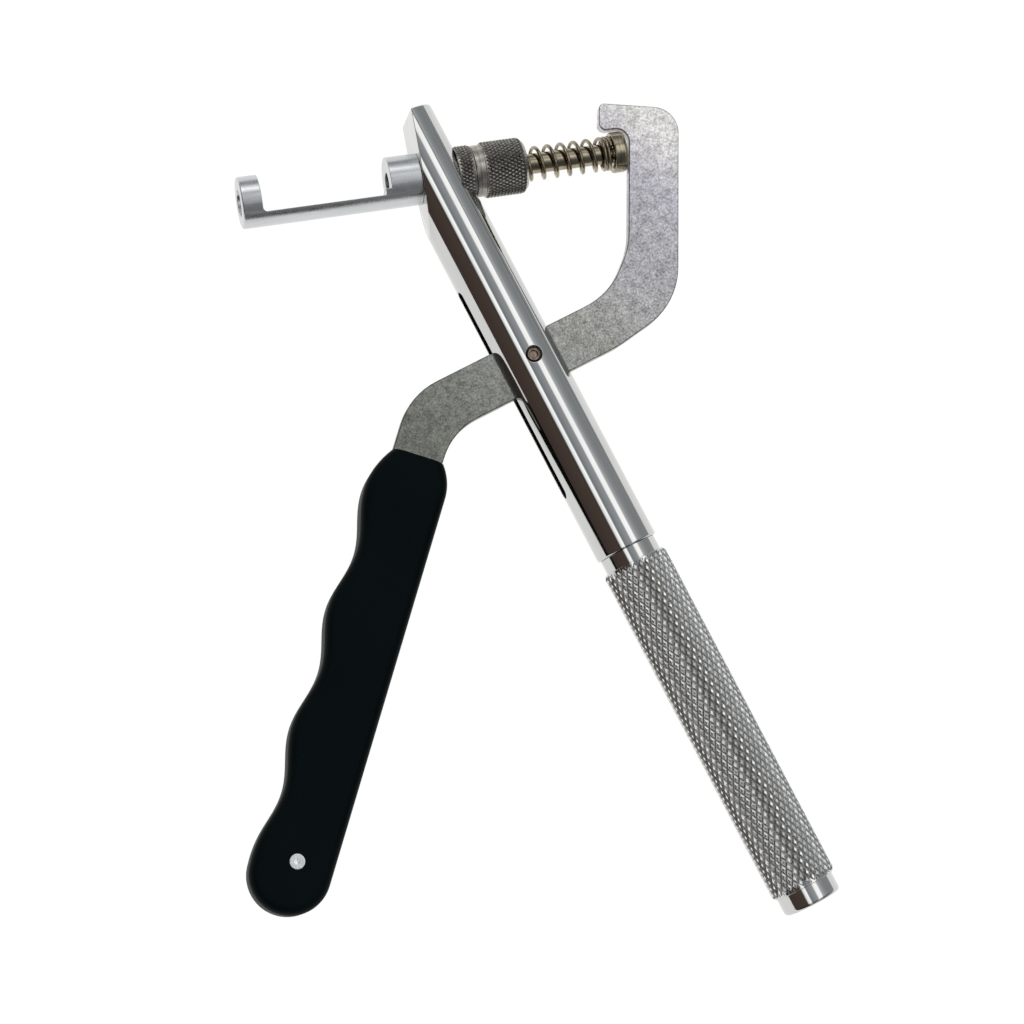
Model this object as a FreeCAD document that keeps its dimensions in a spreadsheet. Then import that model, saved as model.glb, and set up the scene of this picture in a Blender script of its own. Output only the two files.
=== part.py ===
"""Bracelet pin press pliers, a parametric assembly in millimetres.

Frame: the origin is on the punch axis, at the outer face of the anvil. +X runs along
the punch axis towards the plunger head, +Y towards the free end of the bar, and +Z is
square to the lever plate. The tool lies flat, with the lever plate in the XY plane.
"""
import FreeCAD
import Part
import math
import os
import Sketcher

doc = FreeCAD.newDocument("PinPress")
sheet = doc.addObject("Spreadsheet::Sheet", "Dim")

SIZES = {
    # anvil and guide barrel, turned from one rod on the punch axis
    "anvil_dia": 10.5,
    "disc_len": 4.1,
    "disc_edge": 0.5,
    "work_gap": 26.3,
    "seat_drop": 3.4,
    "seat_fillet": 0.8,
    "ledge_drop": 2.3,
    "ledge_len": 1.2,
    "barrel_len": 6.5,
    "exit_dia": 2.2,
    "recess_dia": 5.4,
    "recess_len": 2.4,
    "stem_dia": 7.0,
    "stem_in_knob": 7.5,
    "stem_edge": 0.4,
    # bar
    "bar_dia": 13.0,
    "bar_slant": 17.0,
    "bar_above": 13.4,
    "bar_below": 85.4,
    "bar_edge": 0.5,
    "flat_to_axis": 2.9,
    "web_len": 7.7,
    "spotface_dia": 14.0,
    "slot_start": 23.8,
    "slot_len": 47.1,
    "pivot_drop": 42.5,
    "pivot_dia": 3.4,
    "pin_recess": 0.5,
    "spigot_dia": 6.0,
    "spigot_len": 14.0,
    "spigot_room": 1.0,
    # grip
    "neck_dia": 11.9,
    "neck_len": 3.0,
    "grip_dia": 13.7,
    "grip_len": 72.6,
    "grip_edge": 0.6,
    "tail_dia": 12.2,
    "tail_len": 3.9,
    "tail_edge": 0.9,
    # lock ring and adjusting knob
    "ring_dia": 11.1,
    "ring_len": 3.4,
    "ring_edge": 0.35,
    "collar_dia": 10.6,
    "collar_len": 2.0,
    "knob_dia": 11.5,
    "knob_len": 8.9,
    "knob_edge": 0.9,
    # plunger
    "rod_dia": 4.2,
    "rod_edge": 0.3,
    "head_dia": 8.4,
    "head_len": 2.8,
    "head_edge": 0.8,
    "head_socket": 1.8,
    "punch_dia": 1.0,
    "punch_out": 5.5,
    "punch_socket": 5.0,
    "mouth_setback": 0.8,
    # return spring
    "spring_dia": 7.2,
    "wire_dia": 0.75,
    "spring_len": 18.6,
    "spring_turns": 8.0,
    # lever plate
    "plate": 2.5,
    "band_wide": 10.4,
    "band_slope": 18.0,
    "band_drop": 0.6,
    "crook_run": 1.7,
    "heel_run": 13.0,
    "arm_lean": 11.6,
    "arm_wide": 10.5,
    "crook_rise": 9.2,
    "heel_rise": 7.0,
    "hook_reach": 6.5,
    "hook_tall": 6.0,
    "bend_at": 18.3,
    "tang_slope": 27.0,
    "tang_wide": 10.3,
    "tang_len": 96.5,
    "round_notch": 2.6,
    "round_tip_low": 1.4,
    "round_tip_high": 1.2,
    "round_crown": 5.2,
    "round_elbow": 16.0,
    "round_heel": 24.0,
    "round_bend_in": 14.0,
    "round_tang_right": 4.0,
    "round_tang_left": 4.0,
    "round_bend_out": 15.0,
    "round_crook_low": 16.0,
    "round_crook_high": 16.0,
    # handle sleeve, along the tang from its mouth
    "sleeve_from_bend": 7.7,
    "sleeve_len": 93.8,
    "sleeve_thick": 10.0,
    "sleeve_right": 7.5,
    "sleeve_left": 7.4,
    "mouth_wide": 10.6,
    "shoulder_len": 6.5,
    "wave_high": 1.1,
    "wave_step": 24.6,
    "wave_first": 9.4,
    "sleeve_round": 2.2,
    "lip_len": 4.6,
    "lip_thick": 3.4,
    "lip_root": 2.0,
    "lip_inset": 0.5,
    "lip_set_in": 0.2,
    "lip_round": 2.0,
    "shoulder_hollow": 0.4,
    "rivet_to_end": 10.5,
    "rivet_dia": 3.1,
    "rivet_proud": 0.2,
    # clearances
    "rod_play": 0.05,
    "thread_play": 0.04,
    "pivot_play": 0.04,
    "stem_play": 0.05,
    "spigot_play": 0.05,
    "tang_play": 0.05,
    "slot_play": 0.15,
    "ring_gap": 0.05,
    "notch_over": 0.5,
    "notch_gap": 0.9,
}

for row, (alias, value) in enumerate(SIZES.items(), start=1):
    sheet.set(f"A{row}", alias)
    sheet.set(f"B{row}", str(value))
    sheet.setAlias(f"B{row}", alias)
doc.recompute()

# stations along the punch axis
BARREL_X = "(Dim.disc_len + Dim.work_gap)"
FLAT_X = f"({BARREL_X} + Dim.barrel_len)"
FLOOR_X = f"({FLAT_X} + Dim.web_len)"
RING_X = f"({FLOOR_X} + Dim.ring_gap)"
COLLAR_X = f"({RING_X} + Dim.ring_len + Dim.ring_gap)"
KNOB_X = f"({COLLAR_X} + Dim.collar_len)"
SPRING_X = f"({KNOB_X} + Dim.knob_len)"
HEAD_X = f"({SPRING_X} + Dim.spring_len)"
FACE_X = f"({HEAD_X} + Dim.head_len)"
STEM_END_X = f"({COLLAR_X} + Dim.stem_in_knob)"
PUNCH_X = f"({BARREL_X} + Dim.mouth_setback)"
ROD_X = f"({PUNCH_X} + Dim.punch_out)"

SLOT_WIDE = "(Dim.plate + 2 * Dim.slot_play)"

# the bar's axis crosses the punch axis here, and the lever turns about a pin on it
CROSS_X = f"({FLAT_X} + Dim.flat_to_axis)"
PIVOT_X = f"({CROSS_X} + sin(Dim.bar_slant) * Dim.pivot_drop)"
PIVOT_Y = "(-cos(Dim.bar_slant) * Dim.pivot_drop)"


def value_of(expression):
    """Number that an expression gives with the sheet's present sizes."""
    return float(sheet.evalExpression(expression))


def place(thing, x="0", y="0", z="0", turn="0", about=(0, 0, 1)):
    """Bind an object's placement: a point, and a turn in degrees about an axis."""
    point = FreeCAD.Vector(value_of(x), value_of(y), value_of(z))
    rotation = FreeCAD.Rotation(FreeCAD.Vector(*about), value_of(turn))
    thing.Placement = FreeCAD.Placement(point, rotation)
    thing.setExpression("Placement.Base.x", x)
    thing.setExpression("Placement.Base.y", y)
    thing.setExpression("Placement.Base.z", z)
    thing.setExpression("Placement.Rotation.Angle", f"({turn}) * 1 deg")


def new_body(label):
    body = doc.addObject("PartDesign::Body", label)
    body.Label = label
    return body


def outline(body, name, points):
    """Closed sketch of straight lines, each corner bound to a pair of expressions."""
    sketch = body.newObject("Sketcher::SketchObject", name)
    plane = next(item for item in body.Origin.OriginFeatures if item.Role == "XY_Plane")
    sketch.AttachmentSupport = [(plane, "")]
    sketch.MapMode = "FlatFace"
    corners = [FreeCAD.Vector(value_of(x), value_of(y), 0) for x, y in points]
    count = len(corners)
    for index in range(count):
        edge = Part.LineSegment(corners[index], corners[(index + 1) % count])
        sketch.addGeometry(edge, False)
    for index in range(count):
        sketch.addConstraint(Sketcher.Constraint("Coincident", index, 2, (index + 1) % count, 1))
    for index, (x, y) in enumerate(points):
        for kind, expression, number in (
            ("DistanceX", x, corners[index].x),
            ("DistanceY", y, corners[index].y),
        ):
            rule = sketch.addConstraint(Sketcher.Constraint(kind, -1, 1, index, 1, number))
            sketch.setExpression(f"Constraints[{rule}]", expression)
    return sketch


def turned(label, profile):
    """Lathe part: a closed profile of (x, radius) pairs turned about its own X axis."""
    body = new_body(label)
    sketch = outline(body, label + "_profile", profile)
    solid = body.newObject("PartDesign::Revolution", label + "_turned")
    solid.Profile = sketch
    solid.ReferenceAxis = (sketch, ["H_Axis"])
    solid.Angle = 360
    sketch.Visibility = False
    doc.recompute()
    return body


def padded(label, points, thickness):
    """Flat part: an outline padded to both sides of the XY plane."""
    body = new_body(label)
    sketch = outline(body, label + "_outline", points)
    solid = body.newObject("PartDesign::Pad", label + "_plate")
    solid.Profile = sketch
    solid.SideType = "Symmetric"
    solid.setExpression("Length", thickness)
    doc.recompute()
    return body


def cut_through(body, name, points):
    """Cut an outline right through a body, square to its XY plane, on both sides."""
    before = body.Shape.Volume
    sketch = outline(body, name + "_outline", points)
    pocket = body.newObject("PartDesign::Pocket", name)
    pocket.Profile = sketch
    pocket.SideType = "Symmetric"
    pocket.Type = "ThroughAll"
    doc.recompute()
    if not body.Shape.Volume < before - 1:
        raise RuntimeError(f"{name} cut nothing")


def edges_at(shape, x, y):
    """Names of the edges square to the XY plane that stand at a point."""
    wanted = FreeCAD.Vector(value_of(x), value_of(y), 0)
    names = []
    for index, edge in enumerate(shape.Edges, start=1):
        ends = [FreeCAD.Vector(vertex.X, vertex.Y, 0) for vertex in edge.Vertexes]
        if len(ends) == 2 and all(end.distanceToPoint(wanted) < 1e-3 for end in ends):
            names.append(f"Edge{index}")
    return names


def round_corner(body, name, corner, radius):
    """Round the upright edge that stands at a corner of the outline."""
    base = body.Tip
    fillet = body.newObject("PartDesign::Fillet", name)
    fillet.Base = (base, edges_at(base.Shape, *corner))
    fillet.Radius = value_of(radius)
    fillet.setExpression("Radius", radius)
    doc.recompute()


def drill(body, name, x, y, diameter):
    """Round hole right through a body, square to its XY plane."""
    sketch = body.newObject("Sketcher::SketchObject", name + "_centre")
    plane = next(item for item in body.Origin.OriginFeatures if item.Role == "XY_Plane")
    sketch.AttachmentSupport = [(plane, "")]
    sketch.MapMode = "FlatFace"
    centre = FreeCAD.Vector(value_of(x), value_of(y), 0)
    circle = Part.Circle(centre, FreeCAD.Vector(0, 0, 1), value_of(diameter) / 2)
    sketch.addGeometry(circle, False)
    rules = (
        (Sketcher.Constraint("DistanceX", -1, 1, 0, 3, centre.x), x),
        (Sketcher.Constraint("DistanceY", -1, 1, 0, 3, centre.y), y),
        (Sketcher.Constraint("Diameter", 0, value_of(diameter)), diameter),
    )
    for constraint, expression in rules:
        rule = sketch.addConstraint(constraint)
        sketch.setExpression(f"Constraints[{rule}]", expression)
    hole = body.newObject("PartDesign::Pocket", name)
    hole.Profile = sketch
    hole.SideType = "Symmetric"
    hole.Type = "ThroughAll"
    doc.recompute()


def make_anvil_guide():
    """Anvil disc, work seat, guide barrel and threaded stem, all cut from one rod."""
    rod = "Dim.anvil_dia / 2"
    stem = "Dim.stem_dia / 2"
    guide_bore = "(Dim.rod_dia / 2 + Dim.rod_play)"
    mid_gap = "(Dim.disc_len + Dim.work_gap / 2)"
    body = turned("anvil_guide", [
        ("0", "Dim.recess_dia / 2"),
        ("0", f"{rod} - Dim.disc_edge"),
        ("Dim.disc_edge", rod),
        (FLAT_X, rod),
        (FLAT_X, stem),
        (f"{STEM_END_X} - Dim.stem_edge", stem),
        (STEM_END_X, f"{stem} - Dim.stem_edge"),
        (STEM_END_X, guide_bore),
        (mid_gap, guide_bore),
        (mid_gap, "Dim.exit_dia / 2"),
        ("Dim.recess_len", "Dim.exit_dia / 2"),
        ("Dim.recess_len", "Dim.recess_dia / 2"),
    ])
    above = "Dim.anvil_dia"
    ledge_x = f"({BARREL_X} - Dim.ledge_len)"
    cut_through(body, "work_gap_cut", [
        ("Dim.disc_len", above),
        ("Dim.disc_len", "-Dim.seat_drop"),
        (ledge_x, "-Dim.seat_drop"),
        (ledge_x, "-Dim.ledge_drop"),
        (BARREL_X, "-Dim.ledge_drop"),
        (BARREL_X, above),
    ])
    round_corner(body, "seat_root", ("Dim.disc_len", "-Dim.seat_drop"), "Dim.seat_fillet")


def make_bar():
    """Round bar with an angled flat and spot-face at its head and a slot for the lever."""
    radius = "Dim.bar_dia / 2"
    spigot = "Dim.spigot_dia / 2"
    blank = turned("bar_blank", [
        ("-Dim.bar_above", "0"),
        ("-Dim.bar_above", f"{radius} - Dim.bar_edge"),
        ("-Dim.bar_above + Dim.bar_edge", radius),
        ("Dim.bar_below - Dim.bar_edge", radius),
        ("Dim.bar_below", f"{radius} - Dim.bar_edge"),
        ("Dim.bar_below", spigot),
        ("Dim.bar_below + Dim.spigot_len", spigot),
        ("Dim.bar_below + Dim.spigot_len", "0"),
    ])
    place(blank, x=CROSS_X, turn="Dim.bar_slant - 90")

    # cutters that are square to the punch axis
    flat = doc.addObject("Part::Box", "flat_cutter")
    flat.setExpression("Length", "2 * Dim.bar_dia")
    flat.setExpression("Width", "4 * Dim.bar_dia")
    flat.setExpression("Height", "2 * Dim.bar_dia")
    place(flat, x=f"{FLAT_X} - 2 * Dim.bar_dia", y="-2 * Dim.bar_dia", z="-Dim.bar_dia")
    spotface = doc.addObject("Part::Cylinder", "spotface_cutter")
    spotface.setExpression("Radius", "Dim.spotface_dia / 2")
    spotface.setExpression("Height", "2 * Dim.bar_dia")
    place(spotface, x=FLOOR_X, turn="90", about=(0, 1, 0))
    stem_hole = doc.addObject("Part::Cylinder", "stem_drill")
    stem_hole.setExpression("Radius", "Dim.stem_dia / 2 + Dim.stem_play")
    stem_hole.setExpression("Height", "4 * Dim.bar_dia")
    place(stem_hole, x=f"{FLAT_X} - Dim.bar_dia", turn="90", about=(0, 1, 0))

    # the slot, milled from the side with round ends, and the pivot hole
    slot = doc.addObject("Part::Box", "slot_cutter")
    slot.setExpression("Length", f"Dim.slot_len - {SLOT_WIDE}")
    slot.setExpression("Width", "2 * Dim.bar_dia")
    slot.setExpression("Height", SLOT_WIDE)
    ends = []
    for name, station in (
        ("slot_top_end", f"(Dim.slot_start + {SLOT_WIDE} / 2)"),
        ("slot_low_end", f"(Dim.slot_start + Dim.slot_len - {SLOT_WIDE} / 2)"),
    ):
        end = doc.addObject("Part::Cylinder", name)
        end.setExpression("Radius", f"{SLOT_WIDE} / 2")
        end.setExpression("Height", "2 * Dim.bar_dia")
        place(end, x=station, y="Dim.bar_dia", turn="90", about=(1, 0, 0))
        ends.append(end)
    place(
        slot,
        x=f"Dim.slot_start + {SLOT_WIDE} / 2",
        y="-Dim.bar_dia",
        z=f"-{SLOT_WIDE} / 2",
    )
    pivot_hole = doc.addObject("Part::Cylinder", "pivot_drill")
    pivot_hole.setExpression("Radius", "Dim.pivot_dia / 2")
    pivot_hole.setExpression("Height", "2 * Dim.bar_dia")
    place(pivot_hole, x="Dim.pivot_drop", z="-Dim.bar_dia")
    slot_cut = doc.addObject("Part::MultiFuse", "slot_and_pivot")
    slot_cut.Shapes = [slot, *ends, pivot_hole]
    place(slot_cut, x=CROSS_X, turn="Dim.bar_slant - 90")

    cutters = doc.addObject("Part::MultiFuse", "bar_cutters")
    cutters.Shapes = [flat, spotface, stem_hole, slot_cut]
    bar = doc.addObject("Part::Cut", "main_bar")
    bar.Base = blank
    bar.Tool = cutters
    bar.Label = "main_bar"


def make_grip():
    """Knurled grip screwed on the bar's spigot, with a plain neck and tail."""
    bore = "(Dim.spigot_dia / 2 + Dim.spigot_play)"
    neck = "Dim.neck_dia / 2"
    grip = "Dim.grip_dia / 2"
    tail = "Dim.tail_dia / 2"
    grip_end = "(Dim.neck_len + Dim.grip_len)"
    tail_end = f"({grip_end} + Dim.tail_len)"
    body = turned("grip", [
        ("0", bore),
        ("0", neck),
        ("Dim.neck_len", neck),
        ("Dim.neck_len", f"{grip} - Dim.grip_edge"),
        ("Dim.neck_len + Dim.grip_edge", grip),
        (f"{grip_end} - Dim.grip_edge", grip),
        (grip_end, f"{grip} - Dim.grip_edge"),
        (grip_end, tail),
        (f"{tail_end} - Dim.tail_edge", tail),
        (tail_end, f"{tail} - Dim.tail_edge"),
        (tail_end, "0"),
        ("Dim.spigot_len + Dim.spigot_room", "0"),
        ("Dim.spigot_len + Dim.spigot_room", bore),
    ])
    place(
        body,
        x=f"{CROSS_X} + sin(Dim.bar_slant) * Dim.bar_below",
        y="-cos(Dim.bar_slant) * Dim.bar_below",
        turn="Dim.bar_slant - 90",
    )


def make_lock_ring():
    """Thin knurled nut that locks the stem against the spot-face."""
    bore = "(Dim.stem_dia / 2 + Dim.thread_play)"
    ring = "Dim.ring_dia / 2"
    body = turned("lock_ring", [
        ("0", bore),
        ("0", f"{ring} - Dim.ring_edge"),
        ("Dim.ring_edge", ring),
        ("Dim.ring_len - Dim.ring_edge", ring),
        ("Dim.ring_len", f"{ring} - Dim.ring_edge"),
        ("Dim.ring_len", bore),
    ])
    place(body, x=RING_X)


def make_knob():
    """Knurled adjusting knob with a smooth collar, threaded on the stem."""
    thread = "(Dim.stem_dia / 2 + Dim.thread_play)"
    guide = "(Dim.rod_dia / 2 + Dim.rod_play)"
    collar = "Dim.collar_dia / 2"
    knob = "Dim.knob_dia / 2"
    knob_end = "(Dim.collar_len + Dim.knob_len)"
    thread_end = "(Dim.stem_in_knob + Dim.thread_play)"
    body = turned("adjusting_knob", [
        ("0", thread),
        ("0", collar),
        ("Dim.collar_len", collar),
        ("Dim.collar_len", f"{knob} - Dim.ring_edge"),
        ("Dim.collar_len + Dim.ring_edge", knob),
        (f"{knob_end} - Dim.knob_edge", knob),
        (knob_end, f"{knob} - Dim.knob_edge"),
        (knob_end, guide),
        (thread_end, guide),
        (thread_end, thread),
    ])
    place(body, x=COLLAR_X)


def make_plunger():
    """Plunger rod with its head and the thin punch held in its nose."""
    rod = "Dim.rod_dia / 2"
    punch = "Dim.punch_dia / 2"
    head = "Dim.head_dia / 2"
    rod_len = f"({HEAD_X} + Dim.head_socket - {ROD_X})"
    body = turned("plunger_rod", [
        ("0", punch),
        ("0", f"{rod} - Dim.rod_edge"),
        ("Dim.rod_edge", rod),
        (rod_len, rod),
        (rod_len, "0"),
        ("Dim.punch_socket", "0"),
        ("Dim.punch_socket", punch),
    ])
    place(body, x=ROD_X)
    body = turned("punch_pin", [
        ("0", "0"),
        ("0", punch),
        ("Dim.punch_out + Dim.punch_socket", punch),
        ("Dim.punch_out + Dim.punch_socket", "0"),
    ])
    place(body, x=PUNCH_X)
    body = turned("plunger_head", [
        ("0", rod),
        ("0", f"{head} - Dim.rod_edge"),
        ("Dim.rod_edge", head),
        ("Dim.head_len - Dim.head_edge", head),
        ("Dim.head_len", f"{head} - Dim.head_edge"),
        ("Dim.head_len", "0"),
        ("Dim.head_socket", "0"),
        ("Dim.head_socket", rod),
    ])
    place(body, x=HEAD_X)


def make_spring():
    """Return spring round the plunger rod, between the knob and the head."""
    coil = "(Dim.spring_dia - Dim.wire_dia) / 2"
    path = doc.addObject("Part::Helix", "spring_path")
    path.setExpression("Pitch", "(Dim.spring_len - 1.2 * Dim.wire_dia) / Dim.spring_turns")
    path.setExpression("Height", "Dim.spring_len - 1.2 * Dim.wire_dia")
    path.setExpression("Radius", coil)
    wire = doc.addObject("Part::Circle", "spring_wire")
    wire.setExpression("Radius", "Dim.wire_dia / 2")
    place(wire, x=coil, turn="90", about=(1, 0, 0))
    spring = doc.addObject("Part::Sweep", "return_spring")
    spring.Sections = [wire]
    spring.Spine = (path, [])
    spring.Solid = True
    spring.Frenet = True
    spring.Label = "return_spring"
    place(spring, x=f"{SPRING_X} + 0.6 * Dim.wire_dia", turn="90", about=(0, 1, 0))


def make_pivot_pin():
    """Pin pressed in the bar, a little below its surface at both ends."""
    pin_len = "(Dim.bar_dia - 2 * Dim.pin_recess)"
    body = turned("pivot_pin", [
        ("0", "0"),
        ("0", "Dim.pivot_dia / 2 - Dim.rod_edge"),
        ("Dim.rod_edge", "Dim.pivot_dia / 2"),
        (f"{pin_len} - Dim.rod_edge", "Dim.pivot_dia / 2"),
        (pin_len, "Dim.pivot_dia / 2 - Dim.rod_edge"),
        (pin_len, "0"),
    ])
    place(body, x=PIVOT_X, y=PIVOT_Y, z=f"-{pin_len} / 2", turn="-90", about=(0, 1, 0))


# the lever's bend, where its band meets the tang, measured from the pivot
BEND_X = "(-Dim.bend_at)"
BAND_LOW = "((Dim.band_wide / 2 + Dim.band_drop) / cos(Dim.band_slope))"
BAND_HIGH = "((Dim.band_wide / 2 - Dim.band_drop) / cos(Dim.band_slope))"
BEND_Y = f"(-{BAND_LOW} - Dim.bend_at * tan(Dim.band_slope))"
# the rivet's distance from the bend, along the tang
RIVET_RUN = "(Dim.sleeve_from_bend + Dim.sleeve_len - Dim.rivet_to_end)"


def along_tang(distance, across):
    """Point on the tang: a distance from the bend, and across it towards the waves."""
    x = f"{BEND_X} - sin(Dim.tang_slope) * {distance} - cos(Dim.tang_slope) * {across}"
    y = f"{BEND_Y} - cos(Dim.tang_slope) * {distance} + sin(Dim.tang_slope) * {across}"
    return x, y


def arm_side(across, height):
    """Point at a height above the pivot, on a side of the arm: 0 is the notch's side."""
    wall_x = f"({FACE_X} + Dim.notch_gap - {PIVOT_X})"
    lean = f"tan(Dim.arm_lean) * ({height} + {PIVOT_Y})"
    return f"{wall_x} + {across} / cos(Dim.arm_lean) + {lean}", height


def on_arm(across, along):
    """Point on the arm, from where its notch wall crosses the punch axis."""
    wall_x = f"({FACE_X} + Dim.notch_gap - {PIVOT_X})"
    x = f"{wall_x} + cos(Dim.arm_lean) * {across} + sin(Dim.arm_lean) * {along}"
    y = f"-{PIVOT_Y} - sin(Dim.arm_lean) * {across} + cos(Dim.arm_lean) * {along}"
    return x, y


def make_lever():
    """Flat steel lever: hook, arm, slanted band through the slot, and tang."""
    notch_top = "(Dim.head_dia / 2 + Dim.notch_over)"
    notch_x = f"({FACE_X} + Dim.notch_gap - {PIVOT_X} + tan(Dim.arm_lean) * {notch_top})"
    notch_y = f"(-{PIVOT_Y} + {notch_top})"
    tip_x = f"({notch_x} - Dim.hook_reach)"
    tip_rise = (
        f"(cos(Dim.arm_lean) * {notch_top} + sin(Dim.arm_lean)"
        f" * (tan(Dim.arm_lean) * {notch_top} - Dim.hook_reach) + Dim.hook_tall)"
    )
    turn = "(Dim.band_slope + Dim.tang_slope)"
    outer_run = f"((Dim.tang_wide - Dim.band_wide * sin{turn}) / cos{turn})"
    crook_x = f"({arm_side('0', '0')[0]} - Dim.crook_run)"
    crook_y = f"({BAND_HIGH} + {crook_x} * tan(Dim.band_slope))"
    heel_x = f"({arm_side('Dim.arm_wide', '0')[0]} - Dim.heel_run)"
    heel_y = f"(-{BAND_LOW} + {heel_x} * tan(Dim.band_slope))"
    corners = {
        "notch": (notch_x, notch_y),
        "tip_low": (tip_x, notch_y),
        "tip_high": (
            f"{tip_x} + sin(Dim.arm_lean) * Dim.hook_tall",
            f"{notch_y} + cos(Dim.arm_lean) * Dim.hook_tall",
        ),
        "crown": on_arm("Dim.arm_wide", tip_rise),
        "elbow": arm_side("Dim.arm_wide", f"({heel_y} + Dim.heel_rise)"),
        "heel": (heel_x, heel_y),
        "bend_in": (BEND_X, BEND_Y),
        "tang_right": along_tang("Dim.tang_len", "0"),
        "tang_left": along_tang("Dim.tang_len", "Dim.tang_wide"),
        "bend_out": (
            f"{BEND_X} - sin(Dim.band_slope) * Dim.band_wide - cos(Dim.band_slope) * {outer_run}",
            f"{BEND_Y} + cos(Dim.band_slope) * Dim.band_wide - sin(Dim.band_slope) * {outer_run}",
        ),
        "crook_low": (crook_x, crook_y),
        "crook_high": arm_side("0", f"({crook_y} + Dim.crook_rise)"),
    }
    body = padded("lever", list(corners.values()), "Dim.plate")
    for name, corner in corners.items():
        round_corner(body, "round_" + name, corner, "Dim.round_" + name)
    drill(body, "pivot_hole", "0", "0", "Dim.pivot_dia + 2 * Dim.pivot_play")
    rivet = along_tang(RIVET_RUN, "(Dim.tang_wide / 2)")
    drill(body, "rivet_hole", rivet[0], rivet[1], "Dim.rivet_dia")
    place(body, x=PIVOT_X, y=PIVOT_Y)


def make_sleeve():
    """Moulded handle sleeve over the tang, with three finger waves on one side."""
    thick = value_of("Dim.sleeve_thick")
    right = value_of("Dim.sleeve_right")
    left = value_of("Dim.sleeve_left")
    length = value_of("Dim.sleeve_len")
    mouth = value_of("Dim.mouth_wide") / 2
    shoulder = value_of("Dim.shoulder_len")
    high = value_of("Dim.wave_high")
    step = value_of("Dim.wave_step")
    first = value_of("Dim.wave_first")
    hollow = value_of("Dim.shoulder_hollow")
    play = value_of("Dim.tang_play")
    end_radius = (right + left + high) / 2
    end_y = right - end_radius
    straight = length - end_radius

    def wave(x):
        return -left - high * math.cos(2 * math.pi * (x - first) / step)

    low_end = FreeCAD.Vector(straight, end_y - end_radius, 0)
    wave_points = [low_end]
    steps = 24
    for index in range(steps - 1, -1, -1):
        x = shoulder + (straight - shoulder) * index / steps
        wave_points.append(FreeCAD.Vector(x, wave(x), 0))
    wave_points.append(FreeCAD.Vector(shoulder / 2, (wave(shoulder) - mouth) / 2 - hollow, 0))
    mouth_left = FreeCAD.Vector(0, -mouth, 0)
    wave_points.append(mouth_left)
    waves = Part.BSplineCurve()
    waves.interpolate(wave_points)
    rise = right - mouth
    shoulder_radius = (shoulder**2 + rise**2) / (2 * rise)
    half_turn = math.asin(shoulder / shoulder_radius) / 2
    shoulder_mid = FreeCAD.Vector(
        shoulder - shoulder_radius * math.sin(half_turn),
        right - shoulder_radius * (1 - math.cos(half_turn)),
        0,
    )
    mouth_right = FreeCAD.Vector(0, mouth, 0)
    shoulder_right = FreeCAD.Vector(shoulder, right, 0)
    side_end = FreeCAD.Vector(straight, right, 0)
    edges = [
        Part.LineSegment(mouth_left, mouth_right).toShape(),
        Part.Arc(mouth_right, shoulder_mid, shoulder_right).toShape(),
        Part.LineSegment(shoulder_right, side_end).toShape(),
        Part.Arc(side_end, FreeCAD.Vector(length, end_y, 0), low_end).toShape(),
        waves.toShape(),
    ]
    face = Part.Face(Part.Wire(edges))
    solid = face.extrude(FreeCAD.Vector(0, 0, thick))
    solid.translate(FreeCAD.Vector(0, 0, -thick / 2))
    rims = [edge for edge in solid.Edges if abs(abs(edge.CenterOfMass.z) - thick / 2) < 1e-6]
    rims = [edge for edge in rims if edge.BoundBox.XMax > 1e-3]
    solid = solid.makeFillet(value_of("Dim.sleeve_round"), rims)

    # rear lip, which reaches further up the back of the lever than the front
    lip_len = value_of("Dim.lip_len")
    inset = value_of("Dim.lip_inset")
    lip = Part.makeBox(
        lip_len + value_of("Dim.lip_root"),
        2 * (mouth - inset),
        value_of("Dim.lip_thick"),
        FreeCAD.Vector(-lip_len, inset - mouth, value_of("Dim.lip_set_in") - thick / 2),
    )
    uprights = [edge for edge in lip.Edges if abs(edge.tangentAt(0).z) > 0.99]
    outer = [edge for edge in uprights if edge.CenterOfMass.x < -lip_len + 1e-3]
    solid = solid.fuse(lip.makeFillet(value_of("Dim.lip_round"), outer)).removeSplitter()

    # channel for the tang, and the rivet hole
    wide = value_of("Dim.tang_wide") + 2 * play
    tall = value_of("Dim.plate") + 2 * play
    deep = value_of("Dim.tang_len - Dim.sleeve_from_bend") + play
    channel = Part.makeBox(
        deep + 2 * lip_len, wide, tall, FreeCAD.Vector(-2 * lip_len, -wide / 2, -tall / 2)
    )
    hole = Part.makeCylinder(
        value_of("Dim.rivet_dia") / 2,
        2 * thick,
        FreeCAD.Vector(length - value_of("Dim.rivet_to_end"), 0, -thick),
    )
    sleeve = doc.addObject("Part::Feature", "handle_sleeve")
    sleeve.Shape = solid.cut(channel).cut(hole)
    sleeve.Label = "handle_sleeve"
    mouth_x, mouth_y = along_tang("Dim.sleeve_from_bend", "(Dim.tang_wide / 2)")
    place(
        sleeve,
        x=f"{PIVOT_X} + {mouth_x}",
        y=f"{PIVOT_Y} + {mouth_y}",
        turn="-90 - Dim.tang_slope",
    )


def make_rivet():
    """Rivet through the sleeve and the end of the tang."""
    rivet_len = "(Dim.sleeve_thick + 2 * Dim.rivet_proud)"
    shank = "Dim.rivet_dia / 2"
    body = turned("handle_rivet", [
        ("0", "0"),
        ("0", f"{shank} - Dim.rivet_proud"),
        ("Dim.rivet_proud", shank),
        (f"{rivet_len} - Dim.rivet_proud", shank),
        (rivet_len, f"{shank} - Dim.rivet_proud"),
        (rivet_len, "0"),
    ])
    x, y = along_tang(RIVET_RUN, "(Dim.tang_wide / 2)")
    place(
        body,
        x=f"{PIVOT_X} + {x}",
        y=f"{PIVOT_Y} + {y}",
        z=f"-{rivet_len} / 2",
        turn="-90",
        about=(0, 1, 0),
    )


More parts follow.
